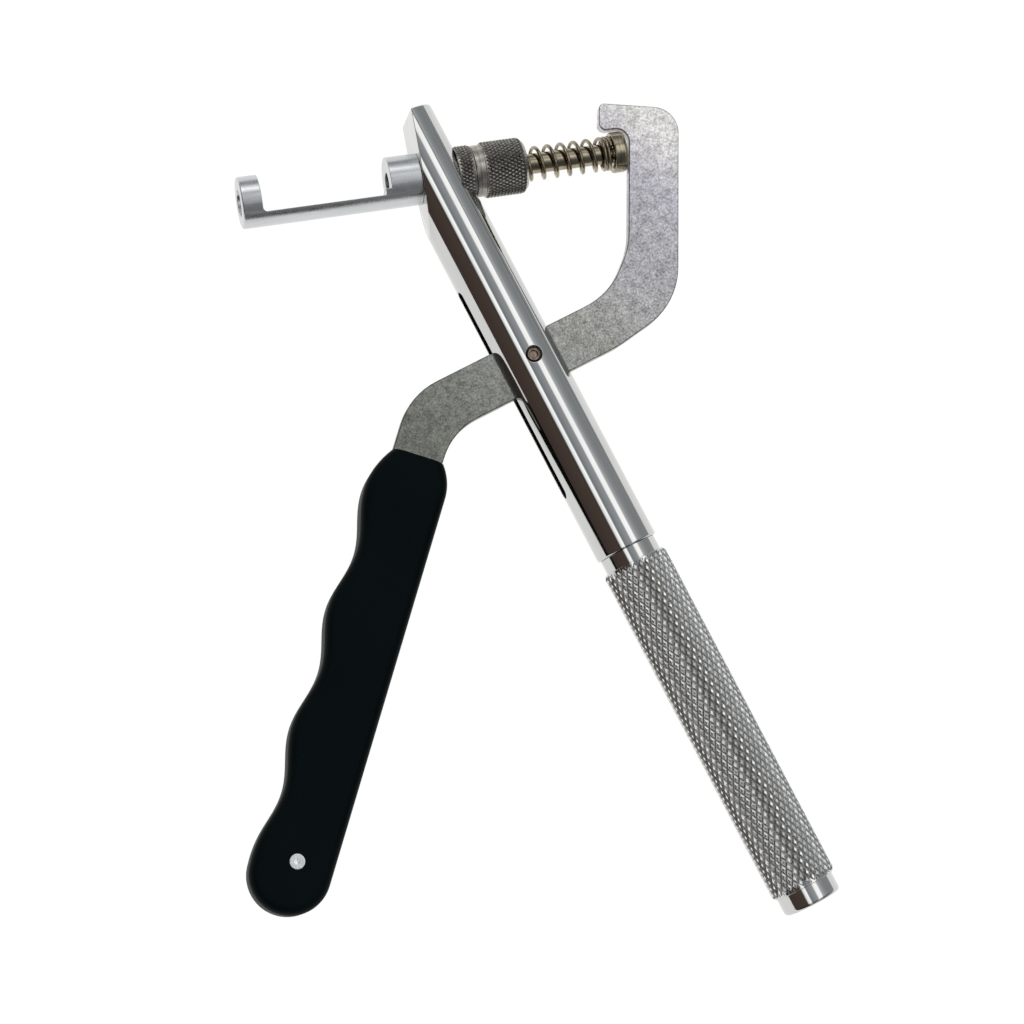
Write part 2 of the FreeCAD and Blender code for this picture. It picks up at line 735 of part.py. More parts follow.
make_anvil_guide()
make_bar()
make_grip()
make_lock_ring()
make_knob()
make_plunger()
make_spring()
make_pivot_pin()
make_lever()
make_sleeve()
make_rivet()
doc.recompute()

NODES = [
    "main_bar",
    "grip",
    "anvil_guide",
    "lock_ring",
    "adjusting_knob",
    "plunger_rod",
    "plunger_head",
    "punch_pin",
    "return_spring",
    "pivot_pin",
    "lever",
    "handle_sleeve",
    "handle_rivet",
]

for item in doc.Objects:
    if "Invalid" in item.State or "Error" in item.State:
        raise RuntimeError(f"{item.Label} failed: {item.State}")

os.makedirs("parts", exist_ok=True)
for name in NODES:
    shape = doc.getObjectsByLabel(name)[0].Shape
    if shape.isNull() or not shape.isValid() or not shape.Solids:
        raise RuntimeError(f"{name} has no valid solid")
    shape.exportStep(f"parts/{name}.step")
    print(f"{name}: {len(shape.Solids)} solid, {shape.Volume:.1f} mm3")
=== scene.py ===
import bmesh
import bpy
import math
from mathutils import Matrix, Vector


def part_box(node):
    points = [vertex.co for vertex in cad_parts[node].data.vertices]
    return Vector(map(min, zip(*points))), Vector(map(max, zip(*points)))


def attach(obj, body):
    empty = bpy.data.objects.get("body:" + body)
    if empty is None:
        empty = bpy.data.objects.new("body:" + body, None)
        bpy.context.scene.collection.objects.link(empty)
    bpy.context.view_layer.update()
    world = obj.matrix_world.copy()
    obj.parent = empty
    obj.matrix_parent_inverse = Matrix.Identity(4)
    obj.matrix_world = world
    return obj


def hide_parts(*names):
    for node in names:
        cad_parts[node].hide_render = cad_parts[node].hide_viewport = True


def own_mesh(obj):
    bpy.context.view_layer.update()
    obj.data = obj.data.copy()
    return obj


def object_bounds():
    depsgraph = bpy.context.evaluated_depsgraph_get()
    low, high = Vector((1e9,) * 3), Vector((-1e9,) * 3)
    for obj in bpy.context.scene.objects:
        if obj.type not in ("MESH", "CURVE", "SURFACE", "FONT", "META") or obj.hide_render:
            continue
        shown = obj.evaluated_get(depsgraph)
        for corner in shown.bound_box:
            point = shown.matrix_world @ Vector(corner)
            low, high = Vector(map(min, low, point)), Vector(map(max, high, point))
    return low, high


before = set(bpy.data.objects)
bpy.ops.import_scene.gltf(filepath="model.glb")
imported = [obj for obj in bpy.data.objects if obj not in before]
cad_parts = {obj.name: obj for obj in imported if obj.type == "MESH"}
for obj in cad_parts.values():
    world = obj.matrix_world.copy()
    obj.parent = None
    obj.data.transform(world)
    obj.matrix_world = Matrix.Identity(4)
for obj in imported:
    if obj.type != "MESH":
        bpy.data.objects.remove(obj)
cadLow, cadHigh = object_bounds()
mm = 0.001
print("frame loaded:", len(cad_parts), "CAD nodes")

# the tool's own directions: the bar leans 17 degrees off square to the punch axis
barSlant = math.radians(17.0)
barCross = 39.8  # where the two axes cross, along the punch axis
barDown = Vector((math.sin(barSlant), -math.cos(barSlant), 0))
barSide = Vector((math.cos(barSlant), math.sin(barSlant), 0))
onPunchAxis = Matrix.Identity(4)
onBarAxis = Matrix.Translation(Vector((barCross * mm, 0, 0))) @ Matrix.Rotation(
    barSlant - math.pi / 2, 4, "Z"
)


def linearColour(hexText):
    # sRGB hex to linear, with alpha 1
    channels = [int(hexText[i : i + 2], 16) / 255 for i in (1, 3, 5)]
    return [c / 12.92 if c <= 0.04045 else ((c + 0.055) / 1.055) ** 2.4 for c in channels] + [1]


def addNode(tree, kind, inputs=None, stops=(), **settings):
    # one node with its settings, its inputs as values or as sockets to link from, and, on a
    # colour ramp, its stops: a place with a hex colour or a plain grey level
    node = tree.nodes.new(kind)
    for key, value in settings.items():
        setattr(node, key, value)
    for key, value in (inputs or {}).items():
        if isinstance(value, bpy.types.NodeSocket):
            tree.links.new(value, node.inputs[key])
        else:
            node.inputs[key].default_value = value
    for index, (place, colour) in enumerate(stops):
        band = node.color_ramp.elements
        if index == 0:
            band.remove(band[-1])
        stop = band[0] if index == 0 else band.new(place)
        stop.position = place
        isHex = isinstance(colour, str)
        stop.color = linearColour(colour) if isHex else (colour, colour, colour, 1)
    return node


def newMaterial(name):
    material = bpy.data.materials.new(name)
    material.use_nodes = True
    tree = material.node_tree
    tree.nodes.clear()
    coords = addNode(tree, "ShaderNodeTexCoord")
    return material, tree, coords.outputs["Object"]


def finishMaterial(tree, values):
    shader = addNode(tree, "ShaderNodeBsdfPrincipled", values)
    addNode(tree, "ShaderNodeOutputMaterial", {"Surface": shader.outputs["BSDF"]})


def axisCoords(tree, coords, place):
    # object coordinates turned so that X runs along a turned piece's own axis
    back = place.inverted()
    return addNode(
        tree,
        "ShaderNodeMapping",
        {"Vector": coords, "Location": back.to_translation(), "Rotation": back.to_euler()},
        vector_type="POINT",
    ).outputs["Vector"]


# camera, floor and lights
studio = {
    "cameraAt": (-66.1, -150.2, 533.2),
    "lookAt": (43.0, -70.6, 0.0),
    "upright": (0.1891, 0.9820, 0.0),
    "lens": 96.68,
    "sensorWidth": 36,
    "nearest": 10.0,
    "farthest": 20000.0,
    "floorSize": 3000.0,
    "floorColour": "#5e5e5d",
    "floorGlow": 0.93,
    "glowColour": "#fffffe",
    "topLight": 3.6,
    "topLightSize": 500.0,
    "topLightReach": 1.25,  # as a share of the camera's own distance
    "fillWorld": 0.5,
    "fillColour": "#fdfdfd",
}


def makeCamera():
    camera = bpy.data.objects.new("camera", bpy.data.cameras.new("camera"))
    bpy.context.scene.collection.objects.link(camera)
    camera.data.lens = studio["lens"]
    camera.data.sensor_width = studio["sensorWidth"]
    camera.data.clip_start = studio["nearest"] * mm
    camera.data.clip_end = studio["farthest"] * mm
    spot = Vector(studio["cameraAt"]) * mm
    forward = (Vector(studio["lookAt"]) * mm - spot).normalized()
    right = forward.cross(Vector(studio["upright"])).normalized()
    top = right.cross(forward)
    turn = Matrix((right, top, -forward)).transposed().to_4x4()
    camera.matrix_world = Matrix.Translation(spot) @ turn
    bpy.context.scene.camera = camera


def makeFloor():
    # white translucent board, lit softly from under it, so it stays pale right up to the tool
    half = studio["floorSize"] / 2 * mm
    mesh = bpy.data.meshes.new("floor")
    corners = [(-half, -half), (half, -half), (half, half), (-half, half)]
    mesh.from_pydata([(x, y, cadLow.z) for x, y in corners], [], [(0, 1, 2, 3)])
    floor = bpy.data.objects.new("floor", mesh)
    bpy.context.scene.collection.objects.link(floor)
    material, tree, _ = newMaterial("paleLightBoard")
    finishMaterial(tree, {
        "Base Color": linearColour(studio["floorColour"]),
        "Roughness": 0.9,
        "Specular IOR Level": 0.0,
        "Emission Color": linearColour(studio["glowColour"]),
        "Emission Strength": studio["floorGlow"],
    })
    mesh.materials.append(material)


# what the polish mirrors: each stop is an angle across the bar, from its left horizon,
# over the top and down to its right horizon, with a colour and a brightness
reflectedBands = [
    (-95, "#483a35", 1.0),
    (-60, "#50443f", 1.0),
    (-42, "#544840", 1.0),
    (-33, "#483d40", 1.0),
    (-29.5, "#e6eaea", 1.4),
    (-19, "#ffffff", 1.75),
    (-15.5, "#8b8f92", 1.0),
    (-4, "#a2a6aa", 1.0),
    (10, "#b0b5b8", 1.0),
    (13.5, "#ffffff", 1.45),
    (28, "#ffffff", 1.6),
    (32, "#cdd2d4", 1.0),
    (45, "#a7abae", 1.0),
    (60, "#989b9d", 1.0),
    (88, "#9ea1a3", 1.0),
]
# and how bright that is for rays leaning along the bar, from its top end to its grip end
reflectedFall = [
    (-0.9, 0.8),
    (-0.74, 1.5),
    (-0.6, 1.6),
    (-0.5, 0.7),
    (-0.4, 0.4),
    (-0.3, 0.6),
    (-0.23, 1.0),
    (0.38, 1.0),
    (0.47, 0.5),
    (0.85, 0.35),
]


def makeStudio():
    world = bpy.data.worlds.new("studio")
    bpy.context.scene.world = world
    world.use_nodes = True
    tree = world.node_tree
    tree.nodes.clear()
    direction = addNode(tree, "ShaderNodeTexCoord").outputs["Generated"]
    across = addNode(
        tree, "ShaderNodeVectorMath", {0: direction, 1: barSide}, operation="DOT_PRODUCT"
    )
    high = addNode(tree, "ShaderNodeSeparateXYZ", {"Vector": direction})
    angle = addNode(
        tree,
        "ShaderNodeMath",
        {0: across.outputs["Value"], 1: high.outputs["Z"]},
        operation="ARCTAN2",
    )
    factor = addNode(
        tree,
        "ShaderNodeMapRange",
        {"Value": angle.outputs["Value"], "From Min": -math.pi, "From Max": math.pi},
    )
    places = [(turn + 180) / 360 for turn, _, _ in reflectedBands]
    tint = addNode(
        tree,
        "ShaderNodeValToRGB",
        {"Fac": factor.outputs["Result"]},
        stops=[(place, colour) for place, (_, colour, _) in zip(places, reflectedBands)],
    )
    # both brightness ramps hold half strength, because a ramp ends at 1, and 4 makes up for it
    strength = addNode(
        tree,
        "ShaderNodeValToRGB",
        {"Fac": factor.outputs["Result"]},
        stops=[(place, bright / 2) for place, (_, _, bright) in zip(places, reflectedBands)],
    )
    lean = addNode(
        tree, "ShaderNodeVectorMath", {0: direction, 1: barDown}, operation="DOT_PRODUCT"
    )
    leaning = addNode(
        tree,
        "ShaderNodeMapRange",
        {"Value": lean.outputs["Value"], "From Min": -1.0, "From Max": 1.0},
    )
    fall = addNode(
        tree,
        "ShaderNodeValToRGB",
        {"Fac": leaning.outputs["Result"]},
        stops=[((slope + 1) / 2, bright / 2) for slope, bright in reflectedFall],
    )
    both = addNode(
        tree,
        "ShaderNodeMath",
        {0: strength.outputs["Color"], 1: fall.outputs["Color"]},
        operation="MULTIPLY",
    )
    power = addNode(
        tree, "ShaderNodeMath", {0: both.outputs["Value"], 1: 4.0}, operation="MULTIPLY"
    )
    mirrored = addNode(
        tree,
        "ShaderNodeBackground",
        {"Color": tint.outputs["Color"], "Strength": power.outputs["Value"]},
    )
    plain = addNode(
        tree,
        "ShaderNodeBackground",
        {"Color": linearColour(studio["fillColour"]), "Strength": studio["fillWorld"]},
    )
    rays = addNode(tree, "ShaderNodeLightPath")
    mix = addNode(
        tree,
        "ShaderNodeMixShader",
        {0: rays.outputs["Is Glossy Ray"], 1: plain.outputs[0], 2: mirrored.outputs[0]},
    )
    addNode(tree, "ShaderNodeOutputWorld", {"Surface": mix.outputs[0]})

    # one big soft light high above, near the line of sight, so shadows hide under the tool
    data = bpy.data.lights.new("topLight", "AREA")
    data.shape = "DISK"
    data.size = studio["topLightSize"] * mm
    data.energy = studio["topLight"]
    light = bpy.data.objects.new("topLight", data)
    bpy.context.scene.collection.objects.link(light)
    light.location = Vector(studio["cameraAt"]) * mm * studio["topLightReach"]
    aim = Vector(studio["lookAt"]) * mm - light.location
    light.rotation_mode = "QUATERNION"
    light.rotation_quaternion = aim.to_track_quat("-Z", "Y")
    light.visible_glossy = False
    light.visible_camera = False


makeCamera()
makeFloor()
makeStudio()
bpy.context.scene.view_settings.view_transform = "Standard"
print("camera, floor and studio ready")


# how meshes are joined, bevelled and smoothed, in mm and degrees
meshing = {
    "weld": 0.002,
    "flatUnder": 0.4,
    "sharpOver": 50,
    "bevelSegments": 2,
    "largeFaces": 80,  # how far the larger faces win when normals are weighted
    "nearSurface": 0.2,
    "facing": 0.97,
    "cornerSteps": 4,
    "segments": 128,
}


def roundedProfile(corners):
    # (x, radius, rounding) corners in mm; each rounding is the length it takes off both sides
    points = []
    count = len(corners)
    steps = meshing["cornerSteps"]
    for index, (x, r, cut) in enumerate(corners):
        here = Vector((x, r))
        if not cut or index in (0, count - 1):
            points.append(here)
            continue
        before = (Vector(corners[index - 1][:2]) - here).normalized()
        after = (Vector(corners[index + 1][:2]) - here).normalized()
        start, end = here + before * cut, here + after * cut
        for step in range(steps + 1):
            t = step / steps
            points.append(start * (1 - t) ** 2 + here * 2 * t * (1 - t) + end * t * t)
    return points


def fixSides(mesh, normals):
    # the worked-out normals point the way that the faces do
    score = sum(
        normals[index].dot(face.normal) for face in mesh.polygons for index in face.vertices
    )
    return normals if score > 0 else [-normal for normal in normals]


def turnedMesh(name, corners, place, bored=False, segments=meshing["segments"]):
    # lathe: the profile turned about its own X, each point's normal weighted by the longer side
    points = roundedProfile(corners)
    count = len(points)
    sides = []
    for index in range(count if bored else count - 1):
        step = points[(index + 1) % count] - points[index]
        sides.append(Vector((-step.y, step.x)) * step.length)
    if sum(p.cross(q) for p, q in zip(points, points[1:] + points[:1])) > 0:
        sides = [-side for side in sides]
    mesh = bpy.data.meshes.new(name)
    verts, normals, rings = [], [], []
    for index, point in enumerate(points):
        near = sides[index - 1] if bored or index > 0 else Vector((0, 0))
        far = sides[index] if index < len(sides) else Vector((0, 0))
        onAxis = point.y < 1e-6
        lean = Vector((near.x + far.x, 0)) if onAxis else near + far
        lean = lean.normalized() if lean.length > 1e-12 else Vector((0, 1))
        ring = []
        for step in range(1 if onAxis else segments):
            turn = 2 * math.pi * step / segments
            c, s = math.cos(turn), math.sin(turn)
            ring.append(len(verts))
            verts.append(Vector((point.x, point.y * c, point.y * s)) * mm)
            normals.append(Vector((lean.x, lean.y * c, lean.y * s)))
        rings.append(ring)
    faces = []
    pairs = list(zip(rings, rings[1:] + rings[:1])) if bored else list(zip(rings, rings[1:]))
    for first, second in pairs:
        for step in range(segments):
            nextStep = (step + 1) % segments
            if len(first) > 1 and len(second) > 1:
                faces.append((first[step], first[nextStep], second[nextStep], second[step]))
            elif len(second) > 1:
                faces.append((first[0], second[nextStep], second[step]))
            elif len(first) > 1:
                faces.append((first[step], first[nextStep], second[0]))
    mesh.from_pydata(verts, [], faces)
    body = bmesh.new()
    body.from_mesh(mesh)
    bmesh.ops.recalc_face_normals(body, faces=body.faces)
    body.to_mesh(mesh)
    body.free()
    mesh.shade_smooth()
    normals = fixSides(mesh, normals)
    mesh.normals_split_custom_set_from_vertices(normals)
    mesh.transform(place)
    return mesh


def newPiece(name, mesh, material=None, body=None, stands=()):
    piece = bpy.data.objects.new(name, mesh)
    bpy.context.scene.collection.objects.link(piece)
    if material is not None:
        mesh.materials.clear()
        mesh.materials.append(material)
    if body:
        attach(piece, body)
        if stands:
            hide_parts(*stands)
    return piece


def prism(name, outline, low, high, place):
    # closed outline in its own XY, from one height to another, all in mm
    mesh = bpy.data.meshes.new(name)
    count = len(outline)
    verts = [Vector((x, y, z)) * mm for z in (low, high) for x, y in outline]
    faces = [tuple(range(count)), tuple(range(2 * count - 1, count - 1, -1))]
    for i in range(count):
        j = (i + 1) % count
        faces.append((i, j, count + j, count + i))
    mesh.from_pydata(verts, [], faces)
    body = bmesh.new()
    body.from_mesh(mesh)
    bmesh.ops.recalc_face_normals(body, faces=body.faces)
    body.to_mesh(mesh)
    body.free()
    mesh.transform(place)
    return mesh


def circleOutline(x, y, radius, steps=96):
    turns = [2 * math.pi * i / steps for i in range(steps)]
    return [(x + radius * math.cos(t), y + radius * math.sin(t)) for t in turns]


def evaluatedMesh(piece):
    graph = bpy.context.evaluated_depsgraph_get()
    graph.update()
    return bpy.data.meshes.new_from_object(piece.evaluated_get(graph), depsgraph=graph)


def dropObject(piece):
    mesh = piece.data
    bpy.data.objects.remove(piece)
    if mesh.users == 0:
        bpy.data.meshes.remove(mesh)


def cutMesh(mesh, cutters, edge, limit=meshing["sharpOver"]):
    # takes the cutters out of the mesh and breaks the new sharp edges
    work = newPiece("work", mesh)
    tools = [newPiece("cutter", cutter) for cutter in cutters]
    for tool in tools:
        cut = work.modifiers.new("cut", "BOOLEAN")
        cut.operation, cut.solver, cut.object = "DIFFERENCE", "EXACT", tool
    shaped = evaluatedMesh(work)
    for item in (work, *tools):
        dropObject(item)
    return brokenEdges(shaped, edge, limit)


def brokenEdges(mesh, edge, limit=meshing["sharpOver"], edgeSlot=-1):
    # welds the mesh, bevels what is sharper than the limit and lets the larger faces stay flat
    work = newPiece("work", mesh)
    body = bmesh.new()
    body.from_mesh(mesh)
    bmesh.ops.remove_doubles(body, verts=body.verts, dist=meshing["weld"] * mm)
    body.to_mesh(mesh)
    body.free()
    mesh.shade_smooth()
    bevel = work.modifiers.new("edge", "BEVEL")
    bevel.width, bevel.segments = edge * mm, meshing["bevelSegments"]
    bevel.limit_method, bevel.angle_limit = "ANGLE", math.radians(limit)
    bevel.use_clamp_overlap = False
    bevel.miter_outer = "MITER_ARC"
    # the bevel faces can take their own material slot, which on the lever holds the painted edge
    # shade
    bevel.material = edgeSlot
    weighted = work.modifiers.new("weighted", "WEIGHTED_NORMAL")
    weighted.weight, weighted.keep_sharp = meshing["largeFaces"], True
    done = evaluatedMesh(work)
    dropObject(work)
    return done


def exactNormals(mesh, turnedFaces):
    # corners on a turned surface take its true radial normal, so the polish reads as one curve
    normals = [corner.vector.copy() for corner in mesh.corner_normals]
    for place, radius in turnedFaces:
        back = place.inverted()
        local = [back @ vert.co for vert in mesh.vertices]
        spin = place.to_3x3()
        for face in mesh.polygons:
            for loop in face.loop_indices:
                point = local[mesh.loops[loop].vertex_index]
                out = Vector((0, point.y, point.z))
                if abs(out.length - radius * mm) > meshing["nearSurface"] * mm:
                    continue
                radial = (spin @ out).normalized()
                if radial.dot(face.normal) > meshing["facing"]:
                    normals[loop] = radial
    mesh.normals_split_custom_set(normals)
    return mesh


def mergedCopy(node):
    # a CAD node's triangles joined into whole faces
    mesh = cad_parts[node].data.copy()
    body = bmesh.new()
    body.from_mesh(mesh)
    bmesh.ops.remove_doubles(body, verts=body.verts, dist=meshing["weld"] * mm)
    bmesh.ops.dissolve_limit(
        body,
        angle_limit=math.radians(meshing["flatUnder"]),
        verts=body.verts,
        edges=body.edges,
        delimit={"NORMAL"},
    )
    body.to_mesh(mesh)
    body.free()
    return mesh


def newTree(name, sizes):
    # an empty node tree with named number inputs, a material input and a geometry output
    tree = bpy.data.node_groups.new(name, "GeometryNodeTree")
    for label in sizes:
        kind = "NodeSocketInt" if label in ("Starts", "Rows") else "NodeSocketFloat"
        tree.interface.new_socket(label, in_out="INPUT", socket_type=kind)
    tree.interface.new_socket("Material", in_out="INPUT", socket_type="NodeSocketMaterial")
    tree.interface.new_socket("Geometry", in_out="OUTPUT", socket_type="NodeSocketGeometry")
    return tree


def grownMesh(tree, values):
    # runs a node tree on an empty mesh, with its inputs set by identifier
    carrier = bpy.data.objects.new("carrier", bpy.data.meshes.new("carrier"))
    bpy.context.scene.collection.objects.link(carrier)
    modifier = carrier.modifiers.new("grow", "NODES")
    modifier.node_group = tree
    for item in tree.interface.items_tree:
        if item.item_type == "SOCKET" and item.in_out == "INPUT" and item.name in values:
            modifier[item.identifier] = values[item.name]
    mesh = evaluatedMesh(carrier)
    carrier.modifiers.clear()
    dropObject(carrier)
    return mesh


# shapes grown by geometry nodes
def makeKnurlTree():
    # diamond points rolled round a cylinder along X, cut off square and bevelled at the ends
    tree = newTree("knurl", (
        "Start", "Length", "Root Radius", "Depth", "Starts", "Rows", "Tip",
        "Start Bevel", "End Bevel",
    ))
    given = addNode(tree, "NodeGroupInput").outputs
    position = addNode(tree, "GeometryNodeInputPosition").outputs[0]
    here = addNode(tree, "ShaderNodeSeparateXYZ", {0: position}).outputs
    normal = addNode(tree, "GeometryNodeInputNormal").outputs[0]
    values = {socket.name: socket for socket in given if socket.name}
    values["index"] = addNode(tree, "GeometryNodeInputIndex").outputs["Index"]
    values["faceUp"] = addNode(tree, "ShaderNodeSeparateXYZ", {0: normal}).outputs["Z"]
    values["x"], values["y"], values["z"] = here["X"], here["Y"], here["Z"]
    for name, operation, first, second in (
        # each point's row, its place round the row, and its spot on the root cylinder
        ("count", "MULTIPLY", "Rows", "Starts"),
        ("middle", "ADD", "index", 0.5),
        ("rowsDone", "DIVIDE", "middle", "Starts"),
        ("row", "FLOOR", "rowsDone", 0.0),
        ("before", "MULTIPLY", "row", "Starts"),
        ("column", "SUBTRACT", "index", "before"),
        ("odd", "MODULO", "row", 2.0),
        ("stagger", "MULTIPLY", "odd", 0.5),
        ("shifted", "ADD", "column", "stagger"),
        ("pitch", "DIVIDE", 2 * math.pi, "Starts"),
        ("turn", "MULTIPLY", "shifted", "pitch"),
        ("gaps", "SUBTRACT", "Rows", 1.0),
        ("step", "DIVIDE", "Length", "gaps"),
        ("run", "MULTIPLY", "row", "step"),
        ("along", "ADD", "Start", "run"),
        ("cosine", "COSINE", "turn", 0.0),
        ("sine", "SINE", "turn", 0.0),
        ("spotY", "MULTIPLY", "Root Radius", "cosine"),
        ("spotZ", "MULTIPLY", "Root Radius", "sine"),
        ("tilt", "SUBTRACT", "turn", math.pi / 2),
        ("halfPitch", "DIVIDE", math.pi, "Starts"),
        ("arc", "MULTIPLY", "Root Radius", "halfPitch"),
        ("isBase", "LESS_THAN", "faceUp", -0.5),
        # the ends: flat across, then a bevel that pulls the crowns in
        ("end", "ADD", "Start", "Length"),
        ("pastStart", "MAXIMUM", "x", "Start"),
        ("cutX", "MINIMUM", "pastStart", "end"),
        ("squareY", "MULTIPLY", "y", "y"),
        ("squareZ", "MULTIPLY", "z", "z"),
        ("square", "ADD", "squareY", "squareZ"),
        ("radius", "SQRT", "square", 0.0),
        ("crown", "ADD", "Root Radius", "Depth"),
        ("inward", "SUBTRACT", "cutX", "Start"),
        ("fromStart", "SUBTRACT", "inward", "Start Bevel"),
        ("outward", "SUBTRACT", "end", "cutX"),
        ("fromEnd", "SUBTRACT", "outward", "End Bevel"),
        ("nearer", "MINIMUM", "fromStart", "fromEnd"),
        ("allowed", "ADD", "crown", "nearer"),
        ("share", "DIVIDE", "allowed", "radius"),
        ("shrink", "MINIMUM", 1.0, "share"),
        ("cutY", "MULTIPLY", "y", "shrink"),
        ("cutZ", "MULTIPLY", "z", "shrink"),
    ):
        pair = {0: values.get(first, first), 1: values.get(second, second)}
        values[name] = addNode(tree, "ShaderNodeMath", pair, operation=operation).outputs[0]
    points = addNode(tree, "GeometryNodePoints", {"Count": values["count"]})
    spot = addNode(
        tree,
        "ShaderNodeCombineXYZ",
        {"X": values["along"], "Y": values["spotY"], "Z": values["spotZ"]},
    )
    placed = addNode(
        tree,
        "GeometryNodeSetPosition",
        {"Geometry": points.outputs[0], "Position": spot.outputs[0]},
    )
    tipUp = addNode(tree, "ShaderNodeCombineXYZ", {"X": values["tilt"]})
    facing = addNode(tree, "FunctionNodeEulerToRotation", {0: tipUp.outputs[0]})
    cone = addNode(
        tree,
        "GeometryNodeMeshCone",
        {"Vertices": 4, "Radius Top": given["Tip"], "Radius Bottom": 1.0, "Depth": 1.0},
        fill_type="NGON",
    )
    openCone = addNode(
        tree,
        "GeometryNodeDeleteGeometry",
        {"Geometry": cone.outputs["Mesh"], "Selection": values["isBase"]},
        domain="FACE",
    )
    size = addNode(
        tree,
        "ShaderNodeCombineXYZ",
        {"X": values["step"], "Y": values["arc"], "Z": given["Depth"]},
    )
    knurls = addNode(
        tree,
        "GeometryNodeInstanceOnPoints",
        {
            "Points": placed.outputs[0],
            "Instance": openCone.outputs[0],
            "Rotation": facing.outputs[0],
            "Scale": size.outputs[0],
        },
    )
    whole = addNode(tree, "GeometryNodeRealizeInstances", {0: knurls.outputs[0]})
    trimmed = addNode(
        tree,
        "ShaderNodeCombineXYZ",
        {"X": values["cutX"], "Y": values["cutY"], "Z": values["cutZ"]},
    )
    cutOff = addNode(
        tree,
        "GeometryNodeSetPosition",
        {"Geometry": whole.outputs[0], "Position": trimmed.outputs[0]},
    )
    painted = addNode(
        tree,
        "GeometryNodeSetMaterial",
        {"Geometry": cutOff.outputs[0], "Material": given["Material"]},
    )
    addNode(tree, "NodeGroupOutput", {0: painted.outputs[0]})
    return tree


knurlTree = makeKnurlTree()
print("knurl tree ready")


# finishes
def polishedChrome(name, place, haze=0.045):
    # chrome plate over a buffed steel bar: a clean mirror with a faint haze from handling
    material, tree, coords = newMaterial(name)
    local = axisCoords(tree, coords, place)
    # smears are about 12 mm long and 3 mm wide
    smear = addNode(tree, "ShaderNodeMapping", {"Vector": local, "Scale": (80, 330, 330)})
    cloud = addNode(
        tree, "ShaderNodeTexNoise", {"Vector": smear.outputs[0], "Scale": 1.0, "Detail": 5.0}
    )
    rough = addNode(
        tree,
        "ShaderNodeMapRange",
        {"Value": cloud.outputs["Fac"], "From Min": 0.35, "From Max": 0.75,
         "To Min": haze, "To Max": haze + 0.06},
    )
    tone = addNode(
        tree, "ShaderNodeValToRGB", {"Fac": cloud.outputs["Fac"]},
        stops=[(0.3, "#cccdcb"), (0.8, "#c3c3c2")],
    )
    # buffing lines run along the piece, 0.25 mm apart
    lines = addNode(tree, "ShaderNodeMapping", {"Vector": local, "Scale": (60, 4000, 4000)})
    buff = addNode(
        tree, "ShaderNodeTexNoise", {"Vector": lines.outputs[0], "Scale": 1.0, "Detail": 2.0}
    )
    bump = addNode(
        tree,
        "ShaderNodeBump",
        {"Height": buff.outputs["Fac"], "Strength": 0.02, "Distance": 0.02 * mm},
    )
    finishMaterial(tree, {
        "Base Color": tone.outputs["Color"],
        "Metallic": 1.0,
        "Roughness": rough.outputs["Result"],
        "Normal": bump.outputs["Normal"],
    })
    return material


def satinChrome(name):
    # chrome plate over a fine drawn finish: soft bands with faint lines along the punch axis
    material, tree, coords = newMaterial(name)
    # lines 0.3 mm apart and 8 mm long, drawn coarser than the real ones so that they show
    drawn = addNode(tree, "ShaderNodeMapping", {"Vector": coords, "Scale": (120, 3300, 3300)})
    marks = addNode(
        tree, "ShaderNodeTexNoise", {"Vector": drawn.outputs[0], "Scale": 1.0, "Detail": 3.0}
    )
    cloud = addNode(tree, "ShaderNodeTexNoise", {"Vector": coords, "Scale": 400.0, "Detail": 4.0})
    rough = addNode(
        tree,
        "ShaderNodeMapRange",
        {"Value": cloud.outputs["Fac"], "To Min": 0.2, "To Max": 0.34},
    )
    tone = addNode(
        tree, "ShaderNodeValToRGB", {"Fac": marks.outputs["Fac"]},
        stops=[(0.3, "#bfc1c4"), (0.7, "#cdcfd1")],
    )
    bump = addNode(
        tree,
        "ShaderNodeBump",
        {"Height": marks.outputs["Fac"], "Strength": 0.2, "Distance": 0.015 * mm},
    )
    finishMaterial(tree, {
        "Base Color": tone.outputs["Color"],
        "Metallic": 1.0,
        "Roughness": rough.outputs["Result"],
        "Normal": bump.outputs["Normal"],
    })
    return material


def knurledMetal(name, place, root, crown, dark, bright, rough):
    # rolled knurl: painted shade darkens the colour low in the grooves so the points read bright,
    # and the grooves are rougher
    material, tree, coords = newMaterial(name)
    local = axisCoords(tree, coords, place)
    flat = addNode(tree, "ShaderNodeVectorMath", {0: local, 1: (0, 1, 1)}, operation="MULTIPLY")
    reach = addNode(
        tree, "ShaderNodeVectorMath", {0: flat.outputs["Vector"]}, operation="LENGTH"
    )
    # painted shade: the colour darkens the nearer a point lies to the root of a groove
    height = addNode(
        tree,
        "ShaderNodeMapRange",
        {"Value": reach.outputs["Value"], "From Min": root * mm, "From Max": crown * mm},
    )
    # specks of wear about 0.5 mm across
    speck = addNode(tree, "ShaderNodeTexNoise", {"Vector": coords, "Scale": 2000.0, "Detail": 3.0})
    shadeAndWear = addNode(
        tree,
        "ShaderNodeMath",
        {0: height.outputs["Result"], 1: speck.outputs["Fac"]},
        operation="ADD",
    )
    shifted = addNode(
        tree, "ShaderNodeMath", {0: shadeAndWear.outputs["Value"], 1: 0.5}, operation="SUBTRACT"
    )
    # the ramp's dark end is the painted groove shade, mixed with the wear specks
    tone = addNode(
        tree, "ShaderNodeValToRGB", {"Fac": shifted.outputs["Value"]},
        stops=[(0.05, dark), (0.75, bright)],
    )
    dull = addNode(
        tree,
        "ShaderNodeMapRange",
        {"Value": shifted.outputs["Value"], "To Min": rough + 0.2, "To Max": rough},
    )
    bump = addNode(
        tree,
        "ShaderNodeBump",
        {"Height": speck.outputs["Fac"], "Strength": 0.3, "Distance": 0.03 * mm},
    )
    finishMaterial(tree, {
        "Base Color": tone.outputs["Color"],
        "Metallic": 1.0,
        "Roughness": dull.outputs["Result"],
        "Normal": bump.outputs["Normal"],
    })
    return material


